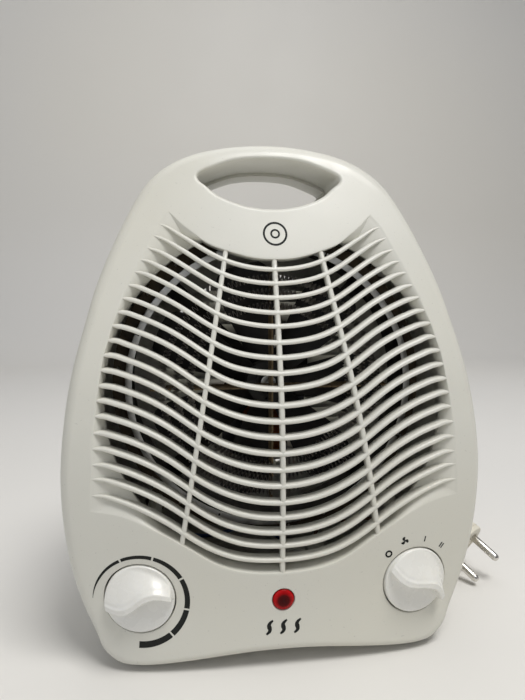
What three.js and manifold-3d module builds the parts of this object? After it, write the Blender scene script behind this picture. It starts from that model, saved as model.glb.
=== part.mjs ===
// Fan convector heater, free-standing, with a carrying handle moulded into the top.
// Two half shells (front and rear), a louvred outlet grille, two rotary controls, an indicator
// lens, a mica-and-ribbon heating element, a shaded-pole motor with an axial fan, feet, cord, plug.
// Frame: millimetres, +Z up, X to the viewer's right, the outlet grille faces -Y.
// Origin: on the table, under the centre of the whole object's box, cord and plug included.
// The drawing itself is made about the middle of the four feet and shifted at the end.
import * as THREE from 'three';
import { mergeVertices } from 'three/addons/utils/BufferGeometryUtils.js';
import Module from 'manifold-3d';

const wasm = await Module();
wasm.setup();

// ---------------------------------------------------------------- driving dimensions (mm)
const WALL = 2.4; // moulded wall of both shells
const GAP = 0.3; // clearance between neighbouring pieces
const AXIS_Z = 135; // height of the fan axis, which runs along Y at x = 0
const SEAM_Y0 = -20; // parting plane between the shells, at z = 0
const SEAM_SLOPE = 0.19; // parting plane leans back by this slope
const REAR_FOOT_Y = 58; // rear face at the base
const REAR_LEAN = 0.045; // rear face leans forward by this slope

const RIM_R = 5.5; // rounding of the front shell's rim
const WINDOW_Z = 135.9; // round outlet window
const WINDOW_R = 85.9;
const GROOVE = 6.5; // depth of the louvre field at the window's edge
const SLAT_T = 2.4; // slat thickness
const TIE_BAR_HALF = 1.3; // half width of the bars across the slats

const GRILLE_R = 66; // round intake opening in the rear shell
const GRILLE_OVERLAP = 1.2; // louvres and ribs run this far into its edge
const LOUVRE_PITCH = 7.2;
const LOUVRE_D = 7; // depth of a louvre, and its rise
const LOUVRE_T = 2.1; // height of its section

const KNOB_X = 69.8; // control positions
const KNOB_Z = 38.4;
const KNOB_R = 17.1;
const WELL_R = 17.8; // recess each knob sits in
const WELL_D = 9;
const LENS_X = 0.3;
const LENS_Z = 35.4;
const LENS_R = 5.4;

const RING_R = 79.5; // duct ring round element and fan
const RING_T = 0.8;
const RING_Y0 = -14;
const RING_Y1 = 19;
const LUG_R = 92; // radius of the four duct-ring fixings
const ARM_END_R = LUG_R + 5; // outer end of the arms that reach them
const MOUNT_Y0 = RING_Y1 + GAP; // motor mounting plate
const MOUNT_Y1 = RING_Y1 + 1.5;

const BOARD_R = 66; // crossed mica boards
const BOARD_T = 0.9;
const BOARD_Y0 = -17;
const BOARD_Y1 = -3;
const RIBBON_Y0 = -14;
const RIBBON_Y1 = -7;
const RIBBON_FOLD = 1.5; // half height of a fold
const RIBBON_HALF_T = 0.45;

const FAN_R = 71;
const FAN_Y0 = 1;
const FAN_Y1 = 14;
const HUB_R = 13;
const SHAFT_R = 1.6;
const SHAFT_BORE = SHAFT_R + GAP;
const MOTOR_Y0 = MOUNT_Y1 + GAP; // front of the motor
const CORE_Y0 = MOTOR_Y0 + 4.2; // laminated core
const CORE_Y1 = CORE_Y0 + 13;
const CORE_HALF_W = 26;
const MOTOR_BOLT_X = 21;

const FOOT_X = 73;
const FOOT_FRONT_Y = -36;
const FOOT_REAR_Y = 38;
const CORD_R = 3.2;
const CORD_X = 45; // where the cord leaves the rear shell
const CORD_Z = 24;
const PIN_R = 2.4; // plug pins
const PIN_L = 19;
const PIN_X = 9.5; // each pin's distance from the plug's axis

// ---------------------------------------------------------------- measured tables (mm)
// Front face, one value every FACE_STEP of height: depth on the centre line, and bulge
// (the extra depth at 100 mm from the centre line, growing with the square of x).
const FACE_STEP = 10;
const FACE_DEPTH = [
  -57.17, -55.85, -54.82, -54.27, -54.31, -54.73, -55.31, -55.92, -56.4, -56.61,
  -56.42, -55.77, -54.62, -52.89, -50.53, -47.57, -44.11, -40.3, -36.26, -32.11,
  -27.93, -23.77, -19.68, -15.63, -11.64, -7.7, -3.82, 0.02,
];
const FACE_BULGE = [
  9.99, 10.26, 10.18, 10.06, 9.94, 9.88, 9.86, 9.87, 9.92, 9.96,
  10, 10.04, 10.1, 10.16, 9.69, 9.08, 8.39, 7.66, 6.91, 6.36,
  5.8, 5.23, 4.75, 4.67, 4.59, 4.5, 4.42, 4.34,
];
// The next three are right halves, as [x, z], with both end points on the centre line.
// Outline of both shells, bottom to top.
const OUTLINE = [
  [0, 8.2], [17.9, 7.6], [37.1, 5.7], [58.6, 3.4], [73.3, 2.8], [81, 4.1], [85.9, 7.1],
  [89.6, 11.2], [92, 17], [94.6, 22.9], [97.9, 30.3], [101.3, 40.5], [104.3, 53.5],
  [106.2, 68.6], [107.1, 85], [107, 100.2], [105.8, 116.3], [104.1, 131.4], [101.7, 145.7],
  [98.6, 159.6], [95.1, 173.4], [91.6, 187.3], [87.2, 200.8], [82, 214.1], [76.9, 226.1],
  [72.7, 234.8], [67.9, 243.2], [61.8, 250.6], [54.2, 256.7], [43.8, 262.1], [30.3, 266],
  [16.4, 268.3], [0, 269.2],
];
// Edge of the recessed louvre field, bottom to top.
const FIELD = [
  [0, 49.3], [10.8, 49.8], [21, 51.3], [31.1, 54.8], [41, 60.9], [50.8, 67.2], [60.8, 73.1],
  [70.8, 78.3], [81.3, 81.8], [91.5, 83], [91.3, 90.5], [90.8, 98.5], [90.4, 105.4],
  [90.4, 112.8], [89.9, 120.3], [88.9, 128.1], [88.2, 135.3], [87.2, 142.3], [86.2, 149.6],
  [85, 156.6], [83.1, 163.5], [81.3, 170.7], [79, 177.2], [76.7, 184.2], [74, 190.5],
  [71.1, 197.3], [68.3, 203.4], [65.2, 209.6], [62.2, 216.1], [59.1, 222.2], [54, 228.6],
  [46.2, 221], [40.8, 216.9], [35.5, 212.8], [30.2, 210.3], [20, 206.9], [9.8, 204.5],
  [0, 203.9],
];
// Carrying-handle opening, top to bottom.
const OPENING = [
  [0, 260.3], [10.3, 259.9], [20.7, 258.2], [31, 254.5], [36.2, 252.2], [39.2, 249.3],
  [38.2, 246.7], [36.2, 245.1], [31, 240.4], [25.9, 237.2], [20.7, 235], [15.5, 233.2],
  [10.3, 232.1], [0, 231.2],
];
// Louvre slats, bottom to top, right half of the centre line:
// heights at x = 0, 20, 40, ... (every SLAT_STEP), then the tip as [x, z].
const SLAT_STEP = 20;
const SLATS = [
  [[55.8, 57.4, 65.9, 79.5, 88.6], [91.3, 90.5]],
  [[63.2, 65.3, 75, 88.5, 96.7], [90.8, 98.5]],
  [[70.1, 72.5, 82.1, 95.6, 103.8], [90.3, 105.3]],
  [[77.7, 80.3, 89.9, 103.4, 111.3], [90.5, 112.8]],
  [[85.3, 88.1, 97.5, 110.9, 118.7], [90, 120.3]],
  [[93.6, 96.4, 105.8, 118.9, 126.6], [88.9, 128.1]],
  [[101.4, 104.2, 113.3, 126.4, 134], [88.3, 135.3]],
  [[109.2, 112, 121, 133.9, 141.4], [87.1, 142.3]],
  [[116.9, 119.7, 128.6, 141.3, 148.7], [86.2, 149.6]],
  [[124.5, 127.1, 136.1, 148.6], [85, 156.6]],
  [[132, 134.6, 143.4, 155.9], [83.1, 163.5]],
  [[139.8, 142.3, 152.3, 164], [81.3, 170.7]],
  [[147.2, 149.6, 159.6, 171.3], [79, 177.2]],
  [[154.6, 157, 167, 178.6], [76.8, 184.2]],
  [[161.9, 164.3, 174.3, 185.8], [74, 190.5]],
  [[169.8, 172.2, 182.1, 193.6], [71.1, 197.3]],
  [[176.5, 179, 188.9, 200.7], [68.3, 203.4]],
  [[184, 186.4, 196.2], [65.2, 209.6]],
  [[191.3, 193.8, 203.7], [62.2, 216.2]],
  [[198.6, 201.3, 211.2], [59.1, 222.2]],
];
// Tie bars across the slats: bottom [x, z], top [x, z].
const TIE_BARS = [
  [[0, 47.5], [0, 206]],
  [[49.3, 63.6], [24.5, 211.5]],
  [[-49.3, 63.6], [-24.5, 211.5]],
];
// Knob grip, across the knob: position, lower edge of the land, height of the land,
// foot of the flank.
const GRIP = [
  [-17.6, -1.0, 2.8, 8], [-14, -2.5, 4.6, 13.4], [-10, -3.5, 6.2, 16], [-6, -3.2, 7.4, 16.8],
  [-2, -1.7, 7.9, 16.9], [2, 0.3, 8.2, 15.8], [6, 1.6, 8.2, 13.7], [10, 1.3, 7.6, 11],
  [14, -0.5, 6.7, 7.4], [17.6, -2.6, 5.5, 2.6],
];
// Fan blade stations from the hub outwards: radius, pitch (radians), half chord.
const BLADE = [[HUB_R - 2, 0.72, 7.6], [36, 0.58, 14], [58, 0.48, 18], [FAN_R - 1, 0.42, 17]];
// Heating ribbons: name, mean radius, number of folds.
const RIBBONS = [['inner', 45, 34], ['middle', 52.5, 40], ['outer', 60, 46]];

// ---------------------------------------------------------------- materials and the group
const MATERIALS = {
  shell: { color: 0xd0d0c8, roughness: 0.42 },
  knob: { color: 0xdededa, roughness: 0.32 },
  lens: { color: 0x8c1512, roughness: 0.2 },
  glass: { color: 0xd8c8b8, roughness: 0.1 },
  steel: { color: 0xa8a9a6, roughness: 0.35, metalness: 1 },
  zinc: { color: 0x9a9c98, roughness: 0.4, metalness: 1 },
  mica: { color: 0xa88f62, roughness: 0.6 },
  ribbon: { color: 0x6e6a64, roughness: 0.5, metalness: 1 },
  black: { color: 0x202020, roughness: 0.5 },
  core: { color: 0x4a4c50, roughness: 0.5, metalness: 0.9 },
  copper: { color: 0x9a4a22, roughness: 0.35, metalness: 0.6 },
  brass: { color: 0xb08d4a, roughness: 0.35, metalness: 1 },
  rubber: { color: 0x2a2a2a, roughness: 0.9 },
  cord: { color: 0xd6d4cc, roughness: 0.5 },
  bakelite: { color: 0x3a2a20, roughness: 0.5 },
  fan: { color: 0x1d1d1c, roughness: 0.5 },
  blue: { color: 0x28508c, roughness: 0.5 },
  white: { color: 0xe2e0d8, roughness: 0.6 },
};
const heater = new THREE.Group();
function put(name, shape, material) {
  const finish = new THREE.MeshStandardMaterial(MATERIALS[material]);
  const mesh = new THREE.Mesh(toGeometry(asSolid(shape)), finish);
  mesh.name = name;
  heater.add(mesh);
}

// ---------------------------------------------------------------- solids
function toSolid(geometry) {
  const bare = geometry.clone();
  for (const key of Object.keys(bare.attributes)) {
    if (key !== 'position') bare.deleteAttribute(key);
  }
  const welded = mergeVertices(bare, 1e-4);
  const index = welded.index.array;
  // Drop triangles that collapsed when their corners merged.
  const kept = [];
  for (let i = 0; i < index.length; i += 3) {
    const [a, b, c] = index.subarray(i, i + 3);
    if (a !== b && b !== c && a !== c) kept.push(a, b, c);
  }
  const build = () => new wasm.Manifold(new wasm.Mesh({
    numProp: 3,
    vertProperties: welded.attributes.position.array,
    triVerts: new Uint32Array(kept),
  }));
  const result = build();
  if (result.volume() >= 0) return result;
  // Inside out: turn every triangle over.
  for (let i = 0; i < kept.length; i += 3) {
    [kept[i + 1], kept[i + 2]] = [kept[i + 2], kept[i + 1]];
  }
  return build();
}
const asSolid = (shape) => (shape.isBufferGeometry ? toSolid(shape) : shape);
const join = (...shapes) => shapes.map(asSolid).reduce((a, b) => a.add(b));
const cut = (body, ...tools) => tools.map(asSolid).reduce((a, b) => a.subtract(b), asSolid(body));

function indexed(positions, index) {
  const geometry = new THREE.BufferGeometry();
  geometry.setAttribute('position', new THREE.Float32BufferAttribute(positions, 3));
  geometry.setIndex(index);
  return geometry;
}
function toGeometry(manifold) {
  const mesh = manifold.getMesh();
  const flat = indexed(mesh.vertProperties, [...mesh.triVerts]).toNonIndexed();
  flat.computeVertexNormals();
  return flat;
}

// ---------------------------------------------------------------- shape helpers
const RAD = Math.PI / 180;
const lerp = THREE.MathUtils.lerp;
const between = (p, q, t) => [lerp(p[0], q[0], t), lerp(p[1], q[1], t)];
const mirrorX = ([x, z]) => [-x, z];
const wholeOutline = (half) => [...half, ...half.slice(1, -1).reverse().map(mirrorX)];

// Skin over rows of [x, y, z] points. Each row closes on itself; the rows either close into
// a ring or end in flat caps.
function loft(rows, ring = false) {
  const n = rows.length;
  const m = rows[0].length;
  const index = [];
  for (let i = 0; i < (ring ? n : n - 1); i++) {
    const row = i * m;
    const next = ((i + 1) % n) * m;
    for (let j = 0; j < m; j++) {
      const k = (j + 1) % m;
      index.push(row + j, next + j, next + k, row + j, next + k, row + k);
    }
  }
  const last = (n - 1) * m;
  for (let j = 1; j < m - 1 && !ring; j++) {
    index.push(0, j, j + 1, last, last + j + 1, last + j);
  }
  return indexed(rows.flat(2), index);
}
// Ring loft from one cross-section per direction round the shell.
const loftRound = (sections) => loft(sections[0].map((_, i) => sections.map((s) => s[i])), true);

function place(geometry, x, y, z, turn = [0, 0, 0]) {
  const rotation = new THREE.Quaternion().setFromEuler(new THREE.Euler(...turn));
  const position = new THREE.Vector3(x, y, z);
  const scale = new THREE.Vector3(1, 1, 1);
  return geometry.applyMatrix4(new THREE.Matrix4().compose(position, rotation, scale));
}
const UPRIGHT = [Math.PI / 2, 0, 0]; // turns a shape built along Y to stand along Z
const cylinder = (radius, length, sides) =>
  new THREE.CylinderGeometry(radius, radius, length, sides);
const cylinderY = (radius, y0, y1, x, z, sides = 24) =>
  place(cylinder(radius, y1 - y0, sides), x, (y0 + y1) / 2, z);
const box = (x0, x1, y0, y1, z0, z1) => place(
  new THREE.BoxGeometry(x1 - x0, y1 - y0, z1 - z0), (x0 + x1) / 2, (y0 + y1) / 2, (z0 + z1) / 2);
// Turned shape about Y; the profile's points are [radius, y].
const lathe = (profile, sides) =>
  new THREE.LatheGeometry(profile.map(([r, y]) => new THREE.Vector2(r, y)), sides);
const latheY = (profile, x, y, z, sides) => place(lathe(profile, sides), x, y, z);
// Cylinder and tube on the fan axis.
const onAxis = (radius, y0, y1, sides) => cylinderY(radius, y0, y1, 0, AXIS_Z, sides);
const tube = (inner, outer, y0, y1, sides) =>
  latheY([[inner, y0], [outer, y0], [outer, y1], [inner, y1], [inner, y0]], 0, 0, AXIS_Z, sides);

// Round bar along a path.
function rod(points, radius, steps, sides) {
  const vectors = points.map((p) => new THREE.Vector3(...p));
  const extrudePath = new THREE.CatmullRomCurve3(vectors, false, 'centripetal');
  const corners = [];
  for (let i = 0; i < sides; i++) {
    const angle = 2 * Math.PI * i / sides;
    corners.push(new THREE.Vector2(radius * Math.cos(angle), radius * Math.sin(angle)));
  }
  const section = new THREE.Shape(corners);
  return new THREE.ExtrudeGeometry(section, { steps, bevelEnabled: false, extrudePath });
}

// ---------------------------------------------------------------- surfaces of the case
function sampleFace(table, z) {
  const i = Math.min(table.length - 2, Math.max(0, Math.floor(z / FACE_STEP)));
  return lerp(table[i], table[i + 1], z / FACE_STEP - i);
}
const faceY = (x, z) => sampleFace(FACE_DEPTH, z) + sampleFace(FACE_BULGE, z) * (x / 100) ** 2;
const seamY = (z) => SEAM_Y0 + SEAM_SLOPE * z;
const rearSeamY = (z) => seamY(z) + GAP;
const rearY = (z) => REAR_FOOT_Y - REAR_LEAN * (z - 20);

// Outline in polar form about the fan axis: cosine, sine, radius.
const directions = wholeOutline(OUTLINE).map(([x, z]) => {
  const radius = Math.hypot(x, z - AXIS_Z);
  return [x / radius, (z - AXIS_Z) / radius, radius];
});
const field = wholeOutline(FIELD);
// Distance from the fan axis to the field's edge along a direction.
function fieldRadius(cos, sin) {
  let farthest = 0;
  for (let i = 0; i < field.length; i++) {
    const [x0, z0] = field[i];
    const [x1, z1] = field[(i + 1) % field.length];
    const rise = z0 - AXIS_Z;
    const dx = x1 - x0;
    const dz = z1 - z0;
    const det = dx * sin - dz * cos;
    if (Math.abs(det) < 1e-9) continue;
    const u = (rise * cos - x0 * sin) / det;
    const radius = Math.abs(cos) > Math.abs(sin) ? (x0 + u * dx) / cos : (rise + u * dz) / sin;
    if (u >= -1e-6 && u <= 1 + 1e-6 && radius > 0) farthest = Math.max(farthest, radius);
  }
  return farthest;
}
// The same for the window: its circle, kept inside the field.
function windowRadius(cos, sin) {
  const rise = WINDOW_Z - AXIS_Z;
  const along = sin * rise;
  const circle = along + Math.sqrt(along * along + WINDOW_R ** 2 - rise ** 2);
  return Math.min(circle, fieldRadius(cos, sin) - 0.8);
}

// ---------------------------------------------------------------- places shared by both shells
const CASE_SCREWS = [[78, 18.5], [-78, 18.5], [52, 238], [-52, 238]]; // x, z
const CASE_SCREW_SEAT = 4; // seat of the heads behind the parting plane
const CASE_SCREW_L = 12;
const LUG_ANGLES = [45, 135, 225, 315]; // degrees
const LUGS = LUG_ANGLES.map((a) =>
  [LUG_R * Math.cos(a * RAD), AXIS_Z + LUG_R * Math.sin(a * RAD)]);
const FRONT_FEET = [[FOOT_X, FOOT_FRONT_Y], [-FOOT_X, FOOT_FRONT_Y]]; // x, y
const REAR_FEET = [[FOOT_X, FOOT_REAR_Y], [-FOOT_X, FOOT_REAR_Y]];
const footSocket = ([x, y]) => place(cylinder(2.5, 10, 8), x, y, 4, UPRIGHT);
const SIDES = [-1, 1]; // left, right

// Handle opening: a cut right through, lined by a wall in each shell.
const opening = wholeOutline(OPENING);
const openingCut = place(
  new THREE.ExtrudeGeometry(
    new THREE.Shape(opening.map(([x, z]) => new THREE.Vector2(x, z))),
    { depth: 200, bevelEnabled: false }),
  0, 110, 0, UPRIGHT);
const openingOffset = (distance) => opening.map(([x, z], i) => {
  const before = opening.at(i - 1);
  const after = opening[(i + 1) % opening.length];
  const dx = after[0] - before[0];
  const dz = after[1] - before[1];
  const length = Math.hypot(dx, dz);
  return [x - dz / length * distance, z + dx / length * distance];
});
function liner(frontEdge, rearEdge) {
  const outer = openingOffset(2.0);
  const inner = openingOffset(-0.4);
  const loop = (points, depth) => points.map(([x, z]) => [x, depth(x, z), z]);
  return loft([
    loop(outer, frontEdge), loop(outer, rearEdge), loop(inner, rearEdge), loop(inner, frontEdge),
  ], true);
}

// Control axes follow the face normal, turned a little outwards.
const knobTilt = Math.atan(2 * sampleFace(FACE_BULGE, KNOB_Z) * KNOB_X / 1e4);
const knobY = faceY(KNOB_X, KNOB_Z);
// Places a shape built along +Y (0 at the face, + inwards) at the control on one side.
const onKnob = (geometry, side) =>
  place(geometry, side * KNOB_X, knobY, KNOB_Z, [0, 0, side * knobTilt]);
const knobCylinder = (side, radius, y0, y1, sides) =>
  onKnob(cylinderY(radius, y0, y1, 0, 0, sides), side);
const lensY = faceY(LENS_X, LENS_Z);

// ---------------------------------------------------------------- front shell
// Skin from the seam over the rim and face, down into the window and back inside.
function frontSkin() {
  return loftRound(directions.map(([cos, sin, edge]) => {
    const onFace = (radius, depth) => {
      const x = cos * radius;
      const z = AXIS_Z + sin * radius;
      return [x, faceY(x, z) + depth, z];
    };
    const fieldEdge = fieldRadius(cos, sin);
    const windowEdge = windowRadius(cos, sin);
    const middle = (edge - RIM_R + fieldEdge) / 2;
    const outerZ = AXIS_Z + sin * edge;
    const inner = edge - WALL;
    const innerX = cos * inner;
    const innerZ = AXIS_Z + sin * inner;
    const innerSeam = seamY(innerZ);
    return [
      [cos * edge, seamY(outerZ), outerZ],
      onFace(edge, RIM_R),
      onFace(edge - 1.6, 1.6),
      onFace(edge - RIM_R, 0),
      onFace(middle, 0),
      onFace(fieldEdge, 0),
      onFace(windowEdge, GROOVE),
      onFace(windowEdge, GROOVE + 2),
      onFace(fieldEdge + 1.6, WALL + 0.2),
      onFace(middle, WALL),
      onFace(edge - RIM_R - 0.6, WALL),
      [innerX, Math.min(onFace(inner, RIM_R + 1)[1], innerSeam - 1), innerZ],
      [innerX, innerSeam, innerZ],
    ];
  }));
}

// Slat: front edge just behind the face, ends sunk into the sloping floor of the field.
function slat([heights, tip]) {
  const inWindow = ([x, z]) => {
    const radius = Math.hypot(x, z - AXIS_Z);
    return radius < windowRadius(x / radius, (z - AXIS_Z) / radius);
  };
  const right = heights.map((z, i) => [SLAT_STEP * i, z]).filter(inWindow);
  // The slat leaves the window between its last free point and its tip.
  const lastFree = right.at(-1);
  let t = 0.02;
  while (t < 0.96 && inWindow(between(lastFree, tip, t))) t += 0.02;
  const exit = between(lastFree, tip, t);
  if (Math.hypot(exit[0] - lastFree[0], exit[1] - lastFree[1]) < 5) right.pop();
  // A short tapering end runs up the floor to the face.
  right.push(exit, between(exit, tip, 0.86));
  const line = [...right.slice(1).reverse().map(mirrorX), ...right];
  const last = line.length - 1;
  return loft(line.map(([x, z], i) => {
    const isEnd = i === 0 || i === last;
    const before = line[Math.max(0, i - 1)];
    const after = line[Math.min(last, i + 1)];
    const length = Math.hypot(after[0] - before[0], after[1] - before[1]);
    const normalX = -(after[1] - before[1]) / length;
    const normalZ = (after[0] - before[0]) / length;
    const half = isEnd ? 0.4 : SLAT_T / 2;
    const corner = (sign, depth) => {
      const cornerX = x + normalX * sign * half;
      const cornerZ = z + normalZ * sign * half;
      return [cornerX, faceY(cornerX, cornerZ) + depth, cornerZ];
    };
    const near = isEnd ? 0.7 : 0.2;
    const far = isEnd ? 2.0 : GROOVE;
    return [corner(-1, near), corner(1, near), corner(1, far), corner(-1, far)];
  }));
}

function tieBar([bottom, top]) {
  const sections = [];
  for (let i = 0; i <= 6; i++) {
    const [x, z] = between(bottom, top, i / 6);
    const near = faceY(x, z) + 1;
    const far = faceY(x, z) + GROOVE - 0.8;
    const x0 = x - TIE_BAR_HALF;
    const x1 = x + TIE_BAR_HALF;
    sections.push([[x0, near, z], [x1, near, z], [x1, far, z], [x0, far, z]]);
  }
  return loft(sections);
}

function frontCover() {
  const bossFront = (x, z, lower, upper) => faceY(x, z) + (z < AXIS_Z ? lower : upper);
  const body = join(
    frontSkin(), ...SLATS.map(slat), ...TIE_BARS.map(tieBar),
    liner((x, z) => faceY(x, z) + 1.2, (x, z) => seamY(z)),
    ...SIDES.map((side) => knobCylinder(side, WELL_R + 2, 1.4, WELL_D + 2, 24)),
    ...CASE_SCREWS.map(([x, z]) =>
      cylinderY(4.5, bossFront(x, z, 1.4, 2.3), seamY(z) - 0.9, x, z, 10)),
    ...LUGS.map(([x, z]) => cylinderY(4, bossFront(x, z, 1.4, 3.8), RING_Y1 - 1.1, x, z, 10)),
    cylinderY(LENS_R + 2.2, lensY + 1.2, lensY + 9, LENS_X, LENS_Z));
  return cut(body,
    ...SIDES.flatMap((side) => [
      knobCylinder(side, WELL_R, -6, WELL_D, 24), knobCylinder(side, 4.2, -6, 16, 8)]),
    ...CASE_SCREWS.map(([x, z]) => cylinderY(1.7, seamY(z) - 14, seamY(z) + 1, x, z, 8)),
    ...LUGS.map(([x, z]) => cylinderY(1.6, 3, RING_Y1 + 1, x, z, 8)),
    ...FRONT_FEET.map(footSocket),
    openingCut, cylinderY(LENS_R + GAP, -80, -40, LENS_X, LENS_Z, 16));
}
put('front_cover', frontCover(), 'shell');

// ---------------------------------------------------------------- rear shell
// Draws a point in towards the middle by the amount the shell narrows at its rear (t = 1).
function taper(x, z, t) {
  const lifted = z + (z < 20 ? 0.6 * t : 0);
  return [x * (1 - 0.055 * t), z > AXIS_Z ? AXIS_Z + (z - AXIS_Z) * (1 - 0.022 * t) : lifted];
}
function rearSkin() {
  const innerStep = 2.6 + WALL * 0.7; // inner skin of the rounded rear edge
  return loftRound(directions.map(([cos, sin, edge]) => {
    const tapered = (radius, t, depth) => {
      const [x, z] = taper(cos * radius, AXIS_Z + sin * radius, t);
      return [x, depth(z), z];
    };
    const grilleX = cos * GRILLE_R;
    const grilleZ = AXIS_Z + sin * GRILLE_R;
    return [
      tapered(edge, 0, rearSeamY),
      tapered(edge, 1, (z) => rearY(z) - 9),
      tapered(edge - 2.6, 1, (z) => rearY(z) - 2.6),
      tapered(edge - 9, 1, rearY),
      [grilleX, rearY(grilleZ), grilleZ],
      [grilleX, rearY(grilleZ) - WALL, grilleZ],
      tapered(edge - 9.6, 1, (z) => rearY(z) - WALL),
      tapered(edge - innerStep, 1, (z) => rearY(z) - innerStep),
      tapered(edge - WALL, 1, (z) => rearY(z) - 9.4),
      tapered(edge - WALL, 0, rearSeamY),
    ];
  }));
}
// Half the length of a bar across the intake, its far edge at this distance from the middle.
const intakeChord = (distance) => Math.sqrt((GRILLE_R + GRILLE_OVERLAP) ** 2 - distance ** 2);
// Sloping louvre, high outside and low inside.
function louvre(k) {
  const z = AXIS_Z + LOUVRE_PITCH * k;
  const halfLength = intakeChord(Math.abs(z - AXIS_Z) + 1.4);
  const outside = rearY(z) - 0.4;
  const inside = outside - LOUVRE_D;
  const low = z - LOUVRE_D / 2;
  const high = z + LOUVRE_D / 2;
  const half = LOUVRE_T / 2;
  return loft([-halfLength, halfLength].map((x) => [
    [x, outside, high - half], [x, outside, high + half],
    [x, inside, low + half], [x, inside, low - half],
  ]));
}
function intakeRib(x) {
  const halfLength = intakeChord(Math.abs(x) + 1);
  return loft(SIDES.map((end) => {
    const z = AXIS_Z + end * halfLength;
    const outside = rearY(z) - 1.2;
    const inside = rearY(z) - 3.6;
    return [[x + 1, outside, z], [x - 1, outside, z], [x - 1, inside, z], [x + 1, inside, z]];
  }));
}
function rearCover() {
  const louvres = [];
  for (let k = -8; k <= 8; k++) louvres.push(louvre(k));
  const body = join(
    rearSkin(), liner((x, z) => rearSeamY(z), (x, z) => rearY(z) - 1),
    ...CASE_SCREWS.map(([x, z]) =>
      cylinderY(5.6, rearSeamY(z) + 0.9, rearY(z) - 1, x, z, 12)),
    ...louvres, ...[-34, 0, 34].map(intakeRib));
  return cut(body,
    openingCut, cylinderY(6.3, 50, 64, CORD_X, CORD_Z, 12),
    ...CASE_SCREWS.flatMap(([x, z]) => [
      cylinderY(3.9, seamY(z) + CASE_SCREW_SEAT, 66, x, z, 12),
      cylinderY(1.8, seamY(z) - 2, seamY(z) + 6, x, z, 8)]),
    ...REAR_FEET.map(footSocket));
}
put('rear_cover', rearCover(), 'shell');

// ---------------------------------------------------------------- feet and case screws
const FOOT_PROFILE = [[0, 0], [5.6, 0], [6, 0.5], [6, 2.1], [2.1, 2.1], [2.1, 8.5], [0, 8.5]];
for (const [i, [x, y]] of [...FRONT_FEET, ...REAR_FEET].entries()) {
  put(`foot_${i + 1}`, place(lathe(FOOT_PROFILE, 12), x, y, 0, UPRIGHT), 'rubber');
}
const CASE_SCREW_PROFILE = [
  [0, 0], [1.3, 0], [1.3, CASE_SCREW_L], [3.4, CASE_SCREW_L],
  [3.4, CASE_SCREW_L + 1.2], [2.4, CASE_SCREW_L + 2.2], [0, CASE_SCREW_L + 2.4],
];
for (const [i, [x, z]] of CASE_SCREWS.entries()) {
  const tipY = seamY(z) + CASE_SCREW_SEAT + GAP - CASE_SCREW_L;
  put(`case_screw_${i + 1}`, latheY(CASE_SCREW_PROFILE, x, tipY, z, 8), 'zinc');
}

// ---------------------------------------------------------------- controls
// Round disc with a raised grip: an S-shaped flat land, a long flank above it and a steep
// wall below. The angle turns the knob about its own axis.
function knob(side, angle) {
  const back = WELL_D - 1.2;
  const disc = latheY([
    [0, -1.2], [KNOB_R - 1.2, -1.2], [KNOB_R, 0], [KNOB_R, back], [0, back], [0, -1.2],
  ], 0, 0, 0, 28);
  const bar = loft(GRIP.map(([x, lower, height, foot]) => {
    const upper = lower + 3;
    const middle = lerp(upper, foot, 0.45);
    const middleHeight = 1 + (height - 1) * 0.48;
    return [
      [x, 2, lower - 1.2], [x, -0.9, lower - 1.2], [x, -height, lower], [x, -height, upper],
      [x, -middleHeight, middle], [x, -1, foot], [x, 2, foot],
    ];
  }));
  const trim = cylinderY(KNOB_R - 0.15, -12, 3, 0, 0, 28);
  const grip = asSolid(bar).intersect(asSolid(trim));
  const cos = Math.cos(angle);
  const sin = Math.sin(angle);
  const turned = (shape) => asSolid(shape).transform(
    [cos, 0, -sin, 0, 0, 1, 0, 0, sin, 0, cos, 0, 0, 0, 0, 1]);
  const body = cut(join(turned(disc), turned(grip)), cylinderY(3.3, 2, WELL_D + 4, 0, 0, 16));
  return onKnob(toGeometry(body), side);
}
put('thermostat_knob', knob(-1, -0.206), 'knob');
put('switch_knob', knob(1, 0.55), 'knob');

function controlBehind(name, side, { halfWidth, halfHeight, depth, material }) {
  put(`${name}_shaft`, knobCylinder(side, 3, 2.3, 21, 16), 'zinc');
  const block = box(-halfWidth, halfWidth, WELL_D + 2.4, depth, -halfHeight, halfHeight);
  const bore = knobCylinder(side, 3.4, 0, 21.5, 16);
  put(`${name}_body`, cut(onKnob(block, side), bore), material);
}
controlBehind('thermostat', -1, { halfWidth: 13, halfHeight: 11, depth: 26, material: 'white' });
controlBehind('switch', 1, { halfWidth: 14, halfHeight: 14, depth: 30, material: 'black' });

// ---------------------------------------------------------------- indicator
put('indicator_lens', latheY([
  [0, -1.2], [2.8, -1], [4.6, -0.5], [LENS_R, 0.2], [LENS_R, 8], [3.6, 8], [3.6, 2], [0, 1.6],
], LENS_X, lensY, LENS_Z, 24), 'lens');
put('neon_lamp', latheY([
  [0, 3], [1.6, 3.6], [2.6, 5.4], [2.6, 15], [0, 15],
], LENS_X, lensY, LENS_Z, 14), 'glass');

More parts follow.
